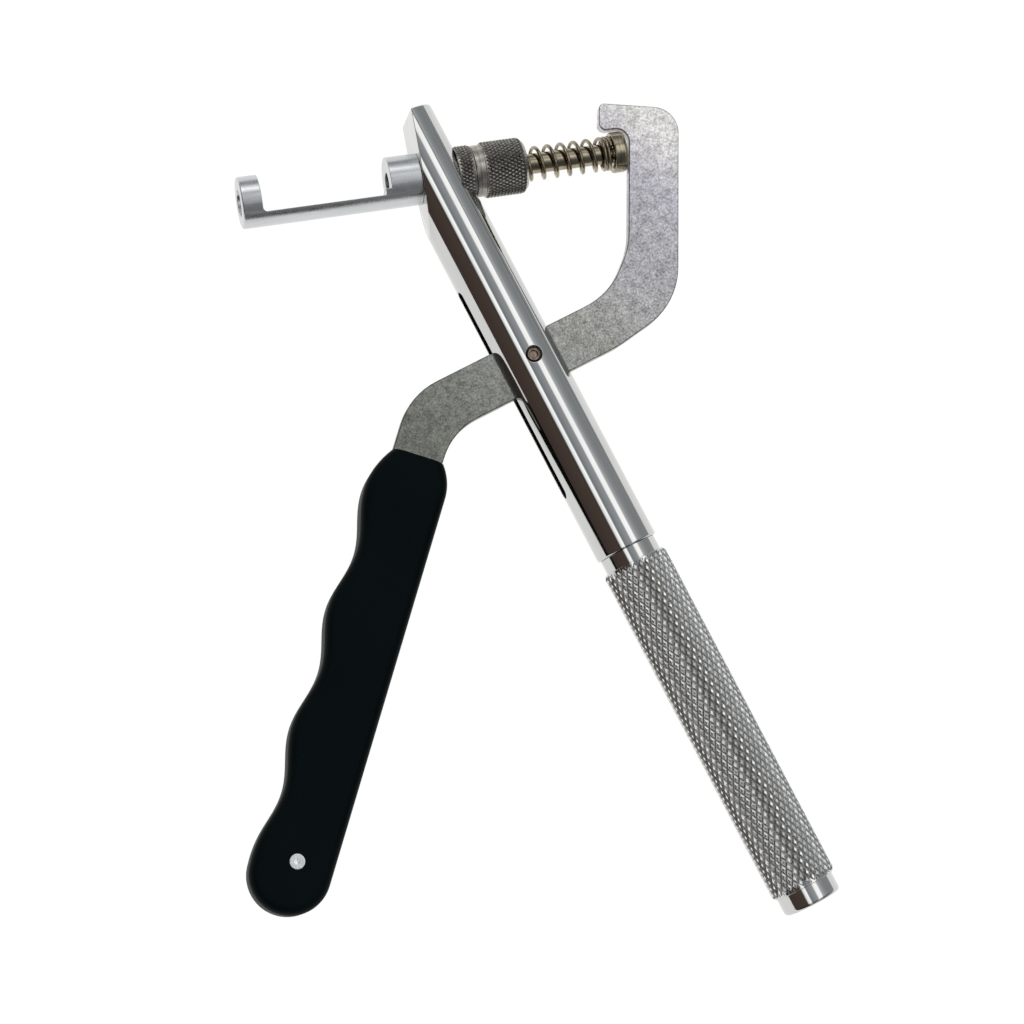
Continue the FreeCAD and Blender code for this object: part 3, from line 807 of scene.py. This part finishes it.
def turnedSteel(name, light, shade, rough):
    # bare turned metal: fine rings along X, 0.4 mm apart, and a little staining
    material, tree, coords = newMaterial(name)
    rings = addNode(tree, "ShaderNodeMapping", {"Vector": coords, "Scale": (2500, 50, 50)})
    lines = addNode(
        tree, "ShaderNodeTexNoise", {"Vector": rings.outputs[0], "Scale": 1.0, "Detail": 3.0}
    )
    stain = addNode(tree, "ShaderNodeTexNoise", {"Vector": coords, "Scale": 500.0, "Detail": 5.0})
    both = addNode(
        tree,
        "ShaderNodeMath",
        {0: lines.outputs["Fac"], 1: stain.outputs["Fac"]},
        operation="MULTIPLY",
    )
    tone = addNode(
        tree, "ShaderNodeValToRGB", {"Fac": both.outputs["Value"]},
        stops=[(0.15, shade), (0.35, light)],
    )
    dull = addNode(
        tree,
        "ShaderNodeMapRange",
        {"Value": stain.outputs["Fac"], "To Min": rough - 0.05, "To Max": rough + 0.1},
    )
    bump = addNode(
        tree,
        "ShaderNodeBump",
        {"Height": lines.outputs["Fac"], "Strength": 0.2, "Distance": 0.02 * mm},
    )
    finishMaterial(tree, {
        "Base Color": tone.outputs["Color"],
        "Metallic": 1.0,
        "Roughness": dull.outputs["Result"],
        "Normal": bump.outputs["Normal"],
    })
    return material


def tumbledSteel(name, paintedShadeScale=1.0):
    # stamped plate, zinc plated and barrel tumbled: mottled grey with fine pits, with painted
    # light that brightens it towards the hook and painted shade that darkens it to an olive grey
    # by the handle
    material, tree, coords = newMaterial(name)
    # blotches 1.8 mm, flecks 0.45 mm, pits 0.35 mm
    blotch = addNode(
        tree,
        "ShaderNodeTexNoise",
        {"Vector": coords, "Scale": 550.0, "Detail": 5.0, "Roughness": 0.6},
    )
    fleck = addNode(
        tree,
        "ShaderNodeTexNoise",
        {"Vector": coords, "Scale": 2200.0, "Detail": 4.0, "Roughness": 0.8},
    )
    pits = addNode(tree, "ShaderNodeTexVoronoi", {"Vector": coords, "Scale": 2800.0})
    mixed = addNode(
        tree,
        "ShaderNodeMath",
        {0: fleck.outputs["Fac"], 1: 1.7, 2: blotch.outputs["Fac"]},
        operation="MULTIPLY_ADD",
    )
    # scaled down, the colour becomes the painted edge shade of the lever's bevel faces
    mottle = addNode(
        tree,
        "ShaderNodeMapRange",
        {"Value": mixed.outputs["Value"], "From Min": 0.95, "From Max": 1.75,
         "To Min": 0.52 * paintedShadeScale, "To Max": 1.48 * paintedShadeScale},
        clamp=False,
    )
    # painted light and shade, from the tang to the hook, across the plate
    along = addNode(
        tree, "ShaderNodeVectorMath", {0: coords, 1: (0.7, 0.7, 0.0)}, operation="DOT_PRODUCT"
    )
    paintedLightAlong = addNode(
        tree,
        "ShaderNodeMapRange",
        {"Value": along.outputs["Value"], "From Min": -0.016, "From Max": 0.064},
    )
    greyWithPaintedLight = addNode(tree, "ShaderNodeValToRGB", {"Fac": paintedLightAlong.outputs["Result"]}, stops=[
        (0.0, "#7c7d76"), (0.17, "#8b8c86"), (0.46, "#a5a5a0"), (0.6, "#b2b0b2"),
        (0.72, "#b2b1b5"), (0.87, "#bfbcc4"), (1.0, "#e6e3e1"),
    ])
    tone = addNode(
        tree,
        "ShaderNodeVectorMath",
        {0: greyWithPaintedLight.outputs["Color"], "Scale": mottle.outputs["Result"]},
        operation="SCALE",
    )
    dull = addNode(
        tree,
        "ShaderNodeMapRange",
        {"Value": fleck.outputs["Fac"], "From Min": 0.3, "From Max": 0.7,
         "To Min": 0.46, "To Max": 0.3},
    )
    height = addNode(
        tree,
        "ShaderNodeMath",
        {0: fleck.outputs["Fac"], 1: pits.outputs["Distance"]},
        operation="ADD",
    )
    bump = addNode(
        tree,
        "ShaderNodeBump",
        {"Height": height.outputs["Value"], "Strength": 0.4, "Distance": 0.04 * mm},
    )
    finishMaterial(tree, {
        "Base Color": tone.outputs["Vector"],
        "Metallic": 1.0,
        "Roughness": dull.outputs["Result"],
        "Normal": bump.outputs["Normal"],
    })
    return material


def mouldedPlastic(name):
    # dip-soft PVC, moulded: blue-black, nearly matt, with a fine spark-eroded grain
    material, tree, coords = newMaterial(name)
    # grain 0.35 mm, clouds 20 mm
    grain = addNode(tree, "ShaderNodeTexNoise", {"Vector": coords, "Scale": 2800.0, "Detail": 3.0})
    cloud = addNode(tree, "ShaderNodeTexNoise", {"Vector": coords, "Scale": 50.0, "Detail": 3.0})
    tone = addNode(
        tree, "ShaderNodeValToRGB", {"Fac": cloud.outputs["Fac"]},
        stops=[(0.3, "#010607"), (0.7, "#03090a")],
    )
    dull = addNode(
        tree,
        "ShaderNodeMapRange",
        {"Value": cloud.outputs["Fac"], "To Min": 0.42, "To Max": 0.58},
    )
    bump = addNode(
        tree,
        "ShaderNodeBump",
        {"Height": grain.outputs["Fac"], "Strength": 0.25, "Distance": 0.05 * mm},
    )
    finishMaterial(tree, {
        "Base Color": tone.outputs["Color"],
        "Metallic": 0.0,
        "Roughness": dull.outputs["Result"],
        "Specular IOR Level": 0.05,
        "Normal": bump.outputs["Normal"],
    })
    return material


# bar
bar = {
    "radius": 6.5,
    "above": 13.4,
    "below": 85.4,
    "endRound": 0.5,
    "spigotRadius": 3.0,
    "spigotLength": 14.0,
    "flatAt": 36.9,  # along the punch axis
    "spotFaceAt": 44.6,
    "spotFaceRadius": 7.0,
    "stemHole": 3.55,
    "slotFrom": 23.8,
    "slotTo": 70.9,
    "slotWide": 2.8,
    "pivotAt": 42.5,
    "pivotHole": 1.7,
    "edge": 0.14,
    "slotSteps": 24,
    "holeSteps": 48,
}


def slotOutline():
    # in the bar's own X and Z, with round ends
    half = bar["slotWide"] / 2
    first, last = bar["slotFrom"] + half, bar["slotTo"] - half
    points = []
    for centre, start in ((first, math.pi / 2), (last, -math.pi / 2)):
        for step in range(bar["slotSteps"] + 1):
            t = start + math.pi * step / bar["slotSteps"]
            points.append((centre + half * math.cos(t), half * math.sin(t)))
    return points


def makeBar():
    blank = turnedMesh("mainBar", [
        (-bar["above"], 0, 0),
        (-bar["above"], bar["radius"], bar["endRound"]),
        (bar["below"], bar["radius"], bar["endRound"]),
        (bar["below"], bar["spigotRadius"], 0),
        (bar["below"] + bar["spigotLength"], bar["spigotRadius"], 0),
        (bar["below"] + bar["spigotLength"], 0, 0),
    ], onBarAxis)
    big = 4 * bar["radius"]
    flat = [(bar["flatAt"] - big, -2 * big), (bar["flatAt"], -2 * big),
            (bar["flatAt"], 2 * big), (bar["flatAt"] - big, 2 * big)]
    alongPunch = Matrix.Rotation(math.pi / 2, 4, "Y")
    throughSlot = onBarAxis @ Matrix.Rotation(math.pi / 2, 4, "X")
    cutters = [
        prism("flatCutter", flat, -big, big, onPunchAxis),
        prism("spotFace", circleOutline(0, 0, bar["spotFaceRadius"]),
              bar["spotFaceAt"], bar["spotFaceAt"] + big, alongPunch),
        prism("stemHole", circleOutline(0, 0, bar["stemHole"]),
              bar["flatAt"] - big, bar["flatAt"] + 2 * big, alongPunch),
        prism("slot", slotOutline(), -big, big, throughSlot),
        prism("pivotHole", circleOutline(bar["pivotAt"], 0, bar["pivotHole"], bar["holeSteps"]),
              -big, big, onBarAxis),
    ]
    mesh = exactNormals(cutMesh(blank, cutters, bar["edge"]), [(onBarAxis, bar["radius"])])
    chrome = polishedChrome("polishedChromeBar", onBarAxis)
    newPiece("mainBar", mesh, chrome, "bar", ["main_bar"])


makeBar()
print("bar done")


# grip
grip = {
    "from": 85.4,
    "bore": 3.05,
    "boreLength": 15.0,
    "neckRadius": 5.95,
    "neckLength": 3.0,
    "radius": 6.85,
    "length": 72.6,
    "edge": 0.6,
    "tailRadius": 6.1,
    "tailLength": 3.9,
    "tailRound": 0.9,
    "knurlStep": 0.15,
    "knurlSink": 0.02,
    "knurlDepth": 0.3,
    "knurlStarts": 32,
    "knurlRows": 59,
    "knurlTip": 0.36,
}


def makeGrip():
    place = onBarAxis @ Matrix.Translation(Vector((grip["from"] * mm, 0, 0)))
    root, step = grip["radius"] - grip["knurlDepth"], grip["knurlStep"]
    first, last = grip["neckLength"], grip["neckLength"] + grip["length"]
    mesh = turnedMesh("gripBody", [
        (0, grip["bore"], 0),
        (0, grip["neckRadius"], step),
        (first, grip["neckRadius"], 0),
        (first, root - step, 0),
        (first + step, root, 0),
        (last - step, root, 0),
        (last, root - step, 0),
        (last, grip["tailRadius"], 0),
        (last + grip["tailLength"], grip["tailRadius"], grip["tailRound"]),
        (last + grip["tailLength"], 0, 0),
        (grip["boreLength"], 0, 0),
        (grip["boreLength"], grip["bore"], 0),
    ], place, bored=True)
    chrome = polishedChrome("polishedChromeGrip", place, haze=0.07)
    newPiece("gripBody", mesh, chrome, "bar", ["grip"])
    # the darker knurl colour is painted shade at the groove roots
    satin = knurledMetal(
        "knurledSatinChrome", place, root, grip["radius"], "#8e8c88", "#e9eae9", 0.27
    )
    knurl = grownMesh(knurlTree, {
        "Start": first * mm,
        "Length": grip["length"] * mm,
        "Root Radius": (root - grip["knurlSink"]) * mm,
        "Depth": (grip["knurlDepth"] + grip["knurlSink"]) * mm,
        "Starts": grip["knurlStarts"],
        "Rows": grip["knurlRows"],
        "Tip": grip["knurlTip"],
        "Start Bevel": grip["edge"] * mm,
        "End Bevel": grip["edge"] * mm,
        "Material": satin,
    })
    knurl.transform(place)
    newPiece("gripKnurl", knurl, satin, "bar")


makeGrip()
print("grip done")


# anvil and guide
anvil = {
    "radius": 5.25,
    "discLength": 4.1,
    "discEdge": 0.5,
    "workGap": 26.3,
    "seatDrop": 3.4,
    "seatRoot": 0.8,
    "ledgeDrop": 2.3,
    "ledgeLength": 1.2,
    "barrelLength": 6.5,
    "stemRadius": 3.5,
    "stemEnd": 55.6,
    "guideBore": 2.15,
    "exitBore": 1.1,
    "recessRadius": 2.7,
    "recessLength": 2.4,
    "edge": 0.16,
    "edgeOver": 60,
    "stemEdge": 0.4,
    "boreEdge": 0.2,
    "stepEdge": 0.1,
    "recessCorner": 0.15,
    "rootSteps": 8,
}


def makeAnvilGuide():
    barrelAt = anvil["discLength"] + anvil["workGap"]
    flatAt = barrelAt + anvil["barrelLength"]
    middle = anvil["discLength"] + anvil["workGap"] / 2
    mesh = turnedMesh("anvilGuide", [
        (0, (anvil["recessRadius"] + anvil["radius"]) / 2, 0),
        (0, anvil["radius"], anvil["discEdge"]),
        (flatAt, anvil["radius"], 0),
        (flatAt, anvil["stemRadius"], 0),
        (anvil["stemEnd"], anvil["stemRadius"], anvil["stemEdge"]),
        (anvil["stemEnd"], anvil["guideBore"], anvil["boreEdge"]),
        (middle, anvil["guideBore"], 0),
        (middle, anvil["exitBore"], 0),
        (anvil["recessLength"], anvil["exitBore"], anvil["stepEdge"]),
        (anvil["recessLength"], anvil["recessRadius"], anvil["recessCorner"]),
        (0, anvil["recessRadius"], anvil["boreEdge"]),
    ], onPunchAxis, bored=True)
    root, top = anvil["seatRoot"], 2 * anvil["radius"]
    outline = [(anvil["discLength"], top)]
    for step in range(anvil["rootSteps"] + 1):
        t = math.pi + math.pi / 2 * step / anvil["rootSteps"]
        outline.append((anvil["discLength"] + root * (1 + math.cos(t)),
                        -anvil["seatDrop"] + root * (1 + math.sin(t))))
    ledgeAt = barrelAt - anvil["ledgeLength"]
    outline += [(ledgeAt, -anvil["seatDrop"]), (ledgeAt, -anvil["ledgeDrop"]),
                (barrelAt, -anvil["ledgeDrop"]), (barrelAt, top)]
    cutter = prism("workGap", outline, -top, top, onPunchAxis)
    mesh = cutMesh(mesh, [cutter], anvil["edge"], anvil["edgeOver"])
    exactNormals(mesh, [
        (onPunchAxis, anvil[size]) for size in ("radius", "guideBore", "recessRadius", "exitBore")
    ])
    satin = satinChrome("satinChromeAnvil")
    newPiece("anvilGuide", mesh, satin, "bar", ["anvil_guide"])


makeAnvilGuide()
print("anvil guide done")


# lock ring and adjusting knob
knob = {
    "ringFrom": 44.65,
    "ringLength": 3.4,
    "ringRadius": 5.55,
    "ringEdge": 0.35,
    "thread": 3.54,
    "collarFrom": 48.1,
    "collarLength": 2.0,
    "collarRadius": 5.3,
    "length": 8.9,
    "radius": 5.75,
    "edge": 0.9,
    "threadEnd": 55.64,
    "guide": 2.15,
    "knurlDepth": 0.27,
    "knurlStarts": 44,
    "ringRows": 6,
    "knobRows": 14,
    "knurlTip": 0.15,
    "knurlSink": 0.01,
    "counterbore": 0.6,
    "rimEdge": 0.1,
    "threadEdge": 0.2,
    "collarEdge": 0.25,
    "shoulderEdge": 0.05,
}


def makeRingAndKnob():
    ringEnd = knob["ringFrom"] + knob["ringLength"]
    ringRoot = knob["ringRadius"] - knob["knurlDepth"]
    knobFrom = knob["collarFrom"] + knob["collarLength"]
    knobEnd = knobFrom + knob["length"]
    knobRoot = knob["radius"] - knob["knurlDepth"]
    dark = turnedSteel("darkTurnedSteel", "#bdb9b1", "#807c75", 0.24)
    ring = turnedMesh("lockRing", [
        (knob["ringFrom"], knob["thread"] + knob["counterbore"], 0),
        (knob["ringFrom"], ringRoot, knob["rimEdge"]),
        (ringEnd, ringRoot, knob["rimEdge"]),
        (ringEnd, knob["thread"], knob["threadEdge"]),
        (knob["ringFrom"], knob["thread"], knob["threadEdge"]),
    ], onPunchAxis, bored=True)
    newPiece("lockRing", ring, dark, "lock_ring", ["lock_ring"])
    body = turnedMesh("adjustingKnob", [
        (knob["collarFrom"], knob["thread"] + knob["counterbore"], 0),
        (knob["collarFrom"], knob["collarRadius"], knob["collarEdge"]),
        (knobFrom, knob["collarRadius"], 0),
        (knobFrom, knobRoot, knob["rimEdge"]),
        (knobEnd - knob["edge"] + knob["knurlDepth"], knobRoot, knob["shoulderEdge"]),
        (knobEnd, knob["radius"] - knob["edge"], knob["rimEdge"]),
        (knobEnd, knob["guide"], knob["threadEdge"]),
        (knob["threadEnd"], knob["guide"], 0),
        (knob["threadEnd"], knob["thread"], 0),
        (knob["collarFrom"], knob["thread"], knob["threadEdge"]),
    ], onPunchAxis, bored=True)
    owner = "adjusting_knob"
    newPiece("adjustingKnob", body, dark, owner, ["adjusting_knob"])
    for name, owner, start, length, root, rows, first, last in (
        ("lockRingKnurl", "lock_ring", knob["ringFrom"], knob["ringLength"], ringRoot,
         knob["ringRows"], knob["ringEdge"], knob["ringEdge"]),
        ("adjustingKnobKnurl", "adjusting_knob", knobFrom, knob["length"], knobRoot,
         knob["knobRows"], knob["ringEdge"], knob["edge"]),
    ):
        crown = root + knob["knurlDepth"]
        # the dark knurl colour is painted shade at the groove roots
        rolled = knurledMetal(
            name + "Steel", onPunchAxis, root, crown, "#3d3a36", "#b0ada7", 0.27
        )
        knurl = grownMesh(knurlTree, {
            "Start": start * mm,
            "Length": length * mm,
            "Root Radius": (root - knob["knurlSink"]) * mm,
            "Depth": (knob["knurlDepth"] + knob["knurlSink"]) * mm,
            "Starts": knob["knurlStarts"],
            "Rows": rows,
            "Tip": knob["knurlTip"],
            "Start Bevel": first * mm,
            "End Bevel": last * mm,
            "Material": rolled,
        })
        newPiece(name, knurl, rolled, owner)


makeRingAndKnob()
print("lock ring and knob done")


# plunger
plunger = {
    "rodFrom": 36.7,
    "rodTo": 79.4,
    "rodRadius": 2.1,
    "rodEdge": 0.3,
    "punchFrom": 31.2,
    "punchTo": 41.7,
    "punchRadius": 0.5,
    "headFrom": 77.6,
    "headTo": 80.4,
    "headRadius": 4.2,
    "headRound": 0.8,
    "headEdge": 0.3,
    "rodFaceRadius": 1.2,
    "headFaceRadius": 3.0,
    "punchEdge": 0.08,
    "punchSegments": 48,
}


def makePlunger():
    nickel = turnedSteel("nickelPlate", "#a39a85", "#867c69", 0.07)
    rod = turnedMesh("plungerRod", [
        (plunger["rodFrom"], plunger["rodFaceRadius"], 0),
        (plunger["rodFrom"], plunger["rodRadius"], plunger["rodEdge"]),
        (plunger["rodTo"], plunger["rodRadius"], 0),
        (plunger["rodTo"], 0, 0),
        (plunger["punchTo"], 0, 0),
        (plunger["punchTo"], plunger["punchRadius"], 0),
        (plunger["rodFrom"], plunger["punchRadius"], 0),
    ], onPunchAxis, bored=True)
    newPiece("plungerRod", rod, nickel, "plunger", ["plunger_rod"])
    head = turnedMesh("plungerHead", [
        (plunger["headFrom"], plunger["headFaceRadius"], 0),
        (plunger["headFrom"], plunger["headRadius"], plunger["headEdge"]),
        (plunger["headTo"], plunger["headRadius"], plunger["headRound"]),
        (plunger["headTo"], 0, 0),
        (plunger["rodTo"], 0, 0),
        (plunger["rodTo"], plunger["rodRadius"], 0),
        (plunger["headFrom"], plunger["rodRadius"], 0),
    ], onPunchAxis, bored=True)
    newPiece("plungerHead", head, nickel, "plunger", ["plunger_head"])
    punch = turnedMesh("punchPin", [
        (plunger["punchFrom"], 0, 0),
        (plunger["punchFrom"], plunger["punchRadius"], plunger["punchEdge"]),
        (plunger["punchTo"], plunger["punchRadius"], 0),
        (plunger["punchTo"], 0, 0),
    ], onPunchAxis, segments=plunger["punchSegments"])
    hardened = turnedSteel("hardenedPunch", "#c4c6c8", "#9a9c9e", 0.2)
    newPiece("punchPin", punch, hardened, "plunger", ["punch_pin"])


makePlunger()
print("plunger done")


# return spring
spring = {
    "from": 59.0,
    "length": 18.6,
    "outside": 7.2,
    "wire": 0.75,
    "openTurns": 5.9,
    "closedTurns": 2.1,
    "closedPitch": 0.78,
    "phase": 80.0,
    "travel": 10.1,
    "points": 380,
    "wireSides": 14,
}


def makeSpringTree():
    # round wire on a helix about X: open coils first, then closed coils against the head
    tree = newTree("coilSpring", (
        "Start", "Coil Radius", "Wire Radius", "Open Turns", "Closed Turns",
        "Open Pitch", "Closed Pitch", "Phase",
    ))
    given = addNode(tree, "NodeGroupInput").outputs
    values = {socket.name: socket for socket in given if socket.name}
    values["share"] = addNode(tree, "GeometryNodeSplineParameter").outputs["Factor"]
    for name, operation, first, second in (
        ("turns", "ADD", "Open Turns", "Closed Turns"),
        ("done", "MULTIPLY", "share", "turns"),
        ("opened", "MINIMUM", "done", "Open Turns"),
        ("closed", "SUBTRACT", "done", "opened"),
        ("openRun", "MULTIPLY", "opened", "Open Pitch"),
        ("closedRun", "MULTIPLY", "closed", "Closed Pitch"),
        ("along", "ADD", "openRun", "closedRun"),
        ("wound", "MULTIPLY", "done", 2 * math.pi),
        ("turn", "ADD", "wound", "Phase"),
        ("cosine", "COSINE", "turn", 0.0),
        ("sine", "SINE", "turn", 0.0),
        ("x", "ADD", "Start", "along"),
        ("y", "MULTIPLY", "Coil Radius", "cosine"),
        ("z", "MULTIPLY", "Coil Radius", "sine"),
    ):
        pair = {0: values.get(first, first), 1: values.get(second, second)}
        values[name] = addNode(tree, "ShaderNodeMath", pair, operation=operation).outputs[0]
    line = addNode(tree, "GeometryNodeCurvePrimitiveLine")
    fine = addNode(
        tree,
        "GeometryNodeResampleCurve",
        {"Curve": line.outputs[0], "Count": spring["points"]},
    )
    spot = addNode(
        tree, "ShaderNodeCombineXYZ", {"X": values["x"], "Y": values["y"], "Z": values["z"]}
    )
    helix = addNode(
        tree,
        "GeometryNodeSetPosition",
        {"Geometry": fine.outputs[0], "Position": spot.outputs[0]},
    )
    section = addNode(
        tree,
        "GeometryNodeCurvePrimitiveCircle",
        {"Resolution": spring["wireSides"], "Radius": given["Wire Radius"]},
    )
    wire = addNode(
        tree,
        "GeometryNodeCurveToMesh",
        {"Curve": helix.outputs[0], "Profile Curve": section.outputs[0], "Fill Caps": True},
    )
    smooth = addNode(tree, "GeometryNodeSetShadeSmooth", {"Geometry": wire.outputs[0]})
    whole = addNode(tree, "GeometryNodeRealizeInstances", {0: smooth.outputs[0]})
    painted = addNode(
        tree,
        "GeometryNodeSetMaterial",
        {"Geometry": whole.outputs[0], "Material": given["Material"]},
    )
    addNode(tree, "NodeGroupOutput", {0: painted.outputs[0]})
    return tree


def makeSpring():
    closed = spring["closedTurns"] * spring["closedPitch"]
    pitch = (spring["length"] - spring["wire"] - closed) / spring["openTurns"]
    # drawn music wire, nickel washed: warm grey with bright lines on top of each coil
    wire = turnedSteel("nickelWashedWire", "#a89d88", "#7f7566", 0.09)
    mesh = grownMesh(makeSpringTree(), {
        "Start": (spring["from"] + spring["wire"] / 2) * mm,
        "Coil Radius": (spring["outside"] - spring["wire"]) / 2 * mm,
        "Wire Radius": spring["wire"] / 2 * mm,
        "Open Turns": spring["openTurns"],
        "Closed Turns": spring["closedTurns"],
        "Open Pitch": pitch * mm,
        "Closed Pitch": spring["closedPitch"] * mm,
        "Phase": math.radians(spring["phase"]),
        "Material": wire,
    })
    coil = newPiece("returnSpring", mesh, wire, "bar", ["return_spring"])
    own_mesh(coil)


makeSpring()
print("spring done")


# pivot pin and handle rivet
pins = {
    "pivotLength": 12.0,
    "pivotRadius": 1.7,
    "pivotNose": 1.28,
    "pivotGroove": 1.1,
    "pivotDimple": 0.85,
    "pivotDip": 0.4,
    "rivetLength": 10.4,
    "rivetRadius": 1.55,
    "rivetEdge": 0.2,
    "rivetDimple": 0.5,
    "rivetDip": 0.12,
    "softEdge": 0.1,
    "dimpleEdge": 0.06,
    "rimEdge": 0.12,
    "grooveSlope": 0.05,
    "segments": 64,
}


def makePins():
    half = pins["pivotLength"] / 2
    # each end: a dimple, a flat rim, then a dark groove inside the hole
    end = [
        (half - pins["pivotDip"], 0, 0),
        (half - pins["pivotDip"], pins["pivotDimple"] - pins["softEdge"], pins["softEdge"]),
        (half, pins["pivotDimple"], pins["dimpleEdge"]),
        (half, pins["pivotNose"], pins["rimEdge"]),
        (half - pins["pivotGroove"], pins["pivotNose"] + pins["grooveSlope"], 0),
        (half - pins["pivotGroove"], pins["pivotRadius"], pins["softEdge"]),
    ]
    pivot = [(-x, r, cut) for x, r, cut in end] + end[::-1]
    half = pins["rivetLength"] / 2
    end = [
        (half - pins["rivetDip"], 0, 0),
        (half, pins["rivetDimple"], pins["rivetEdge"]),
        (half, pins["rivetRadius"], pins["rivetEdge"]),
    ]
    rivet = [(-x, r, cut) for x, r, cut in end] + end[::-1]
    for name, node, owner, slot, profile, metal in (
        # the pivot pin's steel grey carries a painted brown reflection
        ("pivotPin", "pivot_pin", "bar", "pin_steel", pivot,
         turnedSteel("pinSteelWithPaintedReflection", "#9c8c80", "#6b5d55", 0.3)),
        ("handleRivet", "handle_rivet", "lever", "rivet_steel", rivet,
         turnedSteel("rivetSteel", "#f2f3f3", "#dcdedf", 0.3)),
    ):
        low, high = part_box(node)
        place = Matrix.Translation((low + high) / 2) @ Matrix.Rotation(-math.pi / 2, 4, "Y")
        mesh = turnedMesh(name, profile, place, segments=pins["segments"])
        newPiece(name, mesh, metal, owner, [node])


makePins()
print("pins done")


# lever plate
# the bevel faces take the lever's finish at half brightness, as painted edge shade
lever = {"edge": 0.22, "edgePaintedShade": 0.5}


def makeLever():
    face = tumbledSteel("tumbledZincSteel")
    # a darker copy of the finish for the bevel faces: painted shade along the edges
    rim = tumbledSteel("tumbledSteelPaintedEdgeShade", lever["edgePaintedShade"])
    mesh = mergedCopy("lever")
    mesh.materials.clear()
    for metal in (face, rim):
        mesh.materials.append(metal)
    mesh = brokenEdges(mesh, lever["edge"], edgeSlot=1)
    newPiece("leverPlate", mesh, None, "lever", ["lever"])


makeLever()
print("lever done")


# handle sleeve
sleeve = {"smoothUnder": 35}


def makeSleeve():
    mesh = mergedCopy("handle_sleeve")
    mesh.shade_smooth()
    body = bmesh.new()
    body.from_mesh(mesh)
    for edge in body.edges:
        if len(edge.link_faces) == 2:
            edge.smooth = edge.calc_face_angle() < math.radians(sleeve["smoothUnder"])
    body.to_mesh(mesh)
    body.free()
    black = mouldedPlastic("mouldedBlackPlastic")
    newPiece("handleSleeve", mesh, black, "lever", ["handle_sleeve"])


makeSleeve()
print("sleeve done")
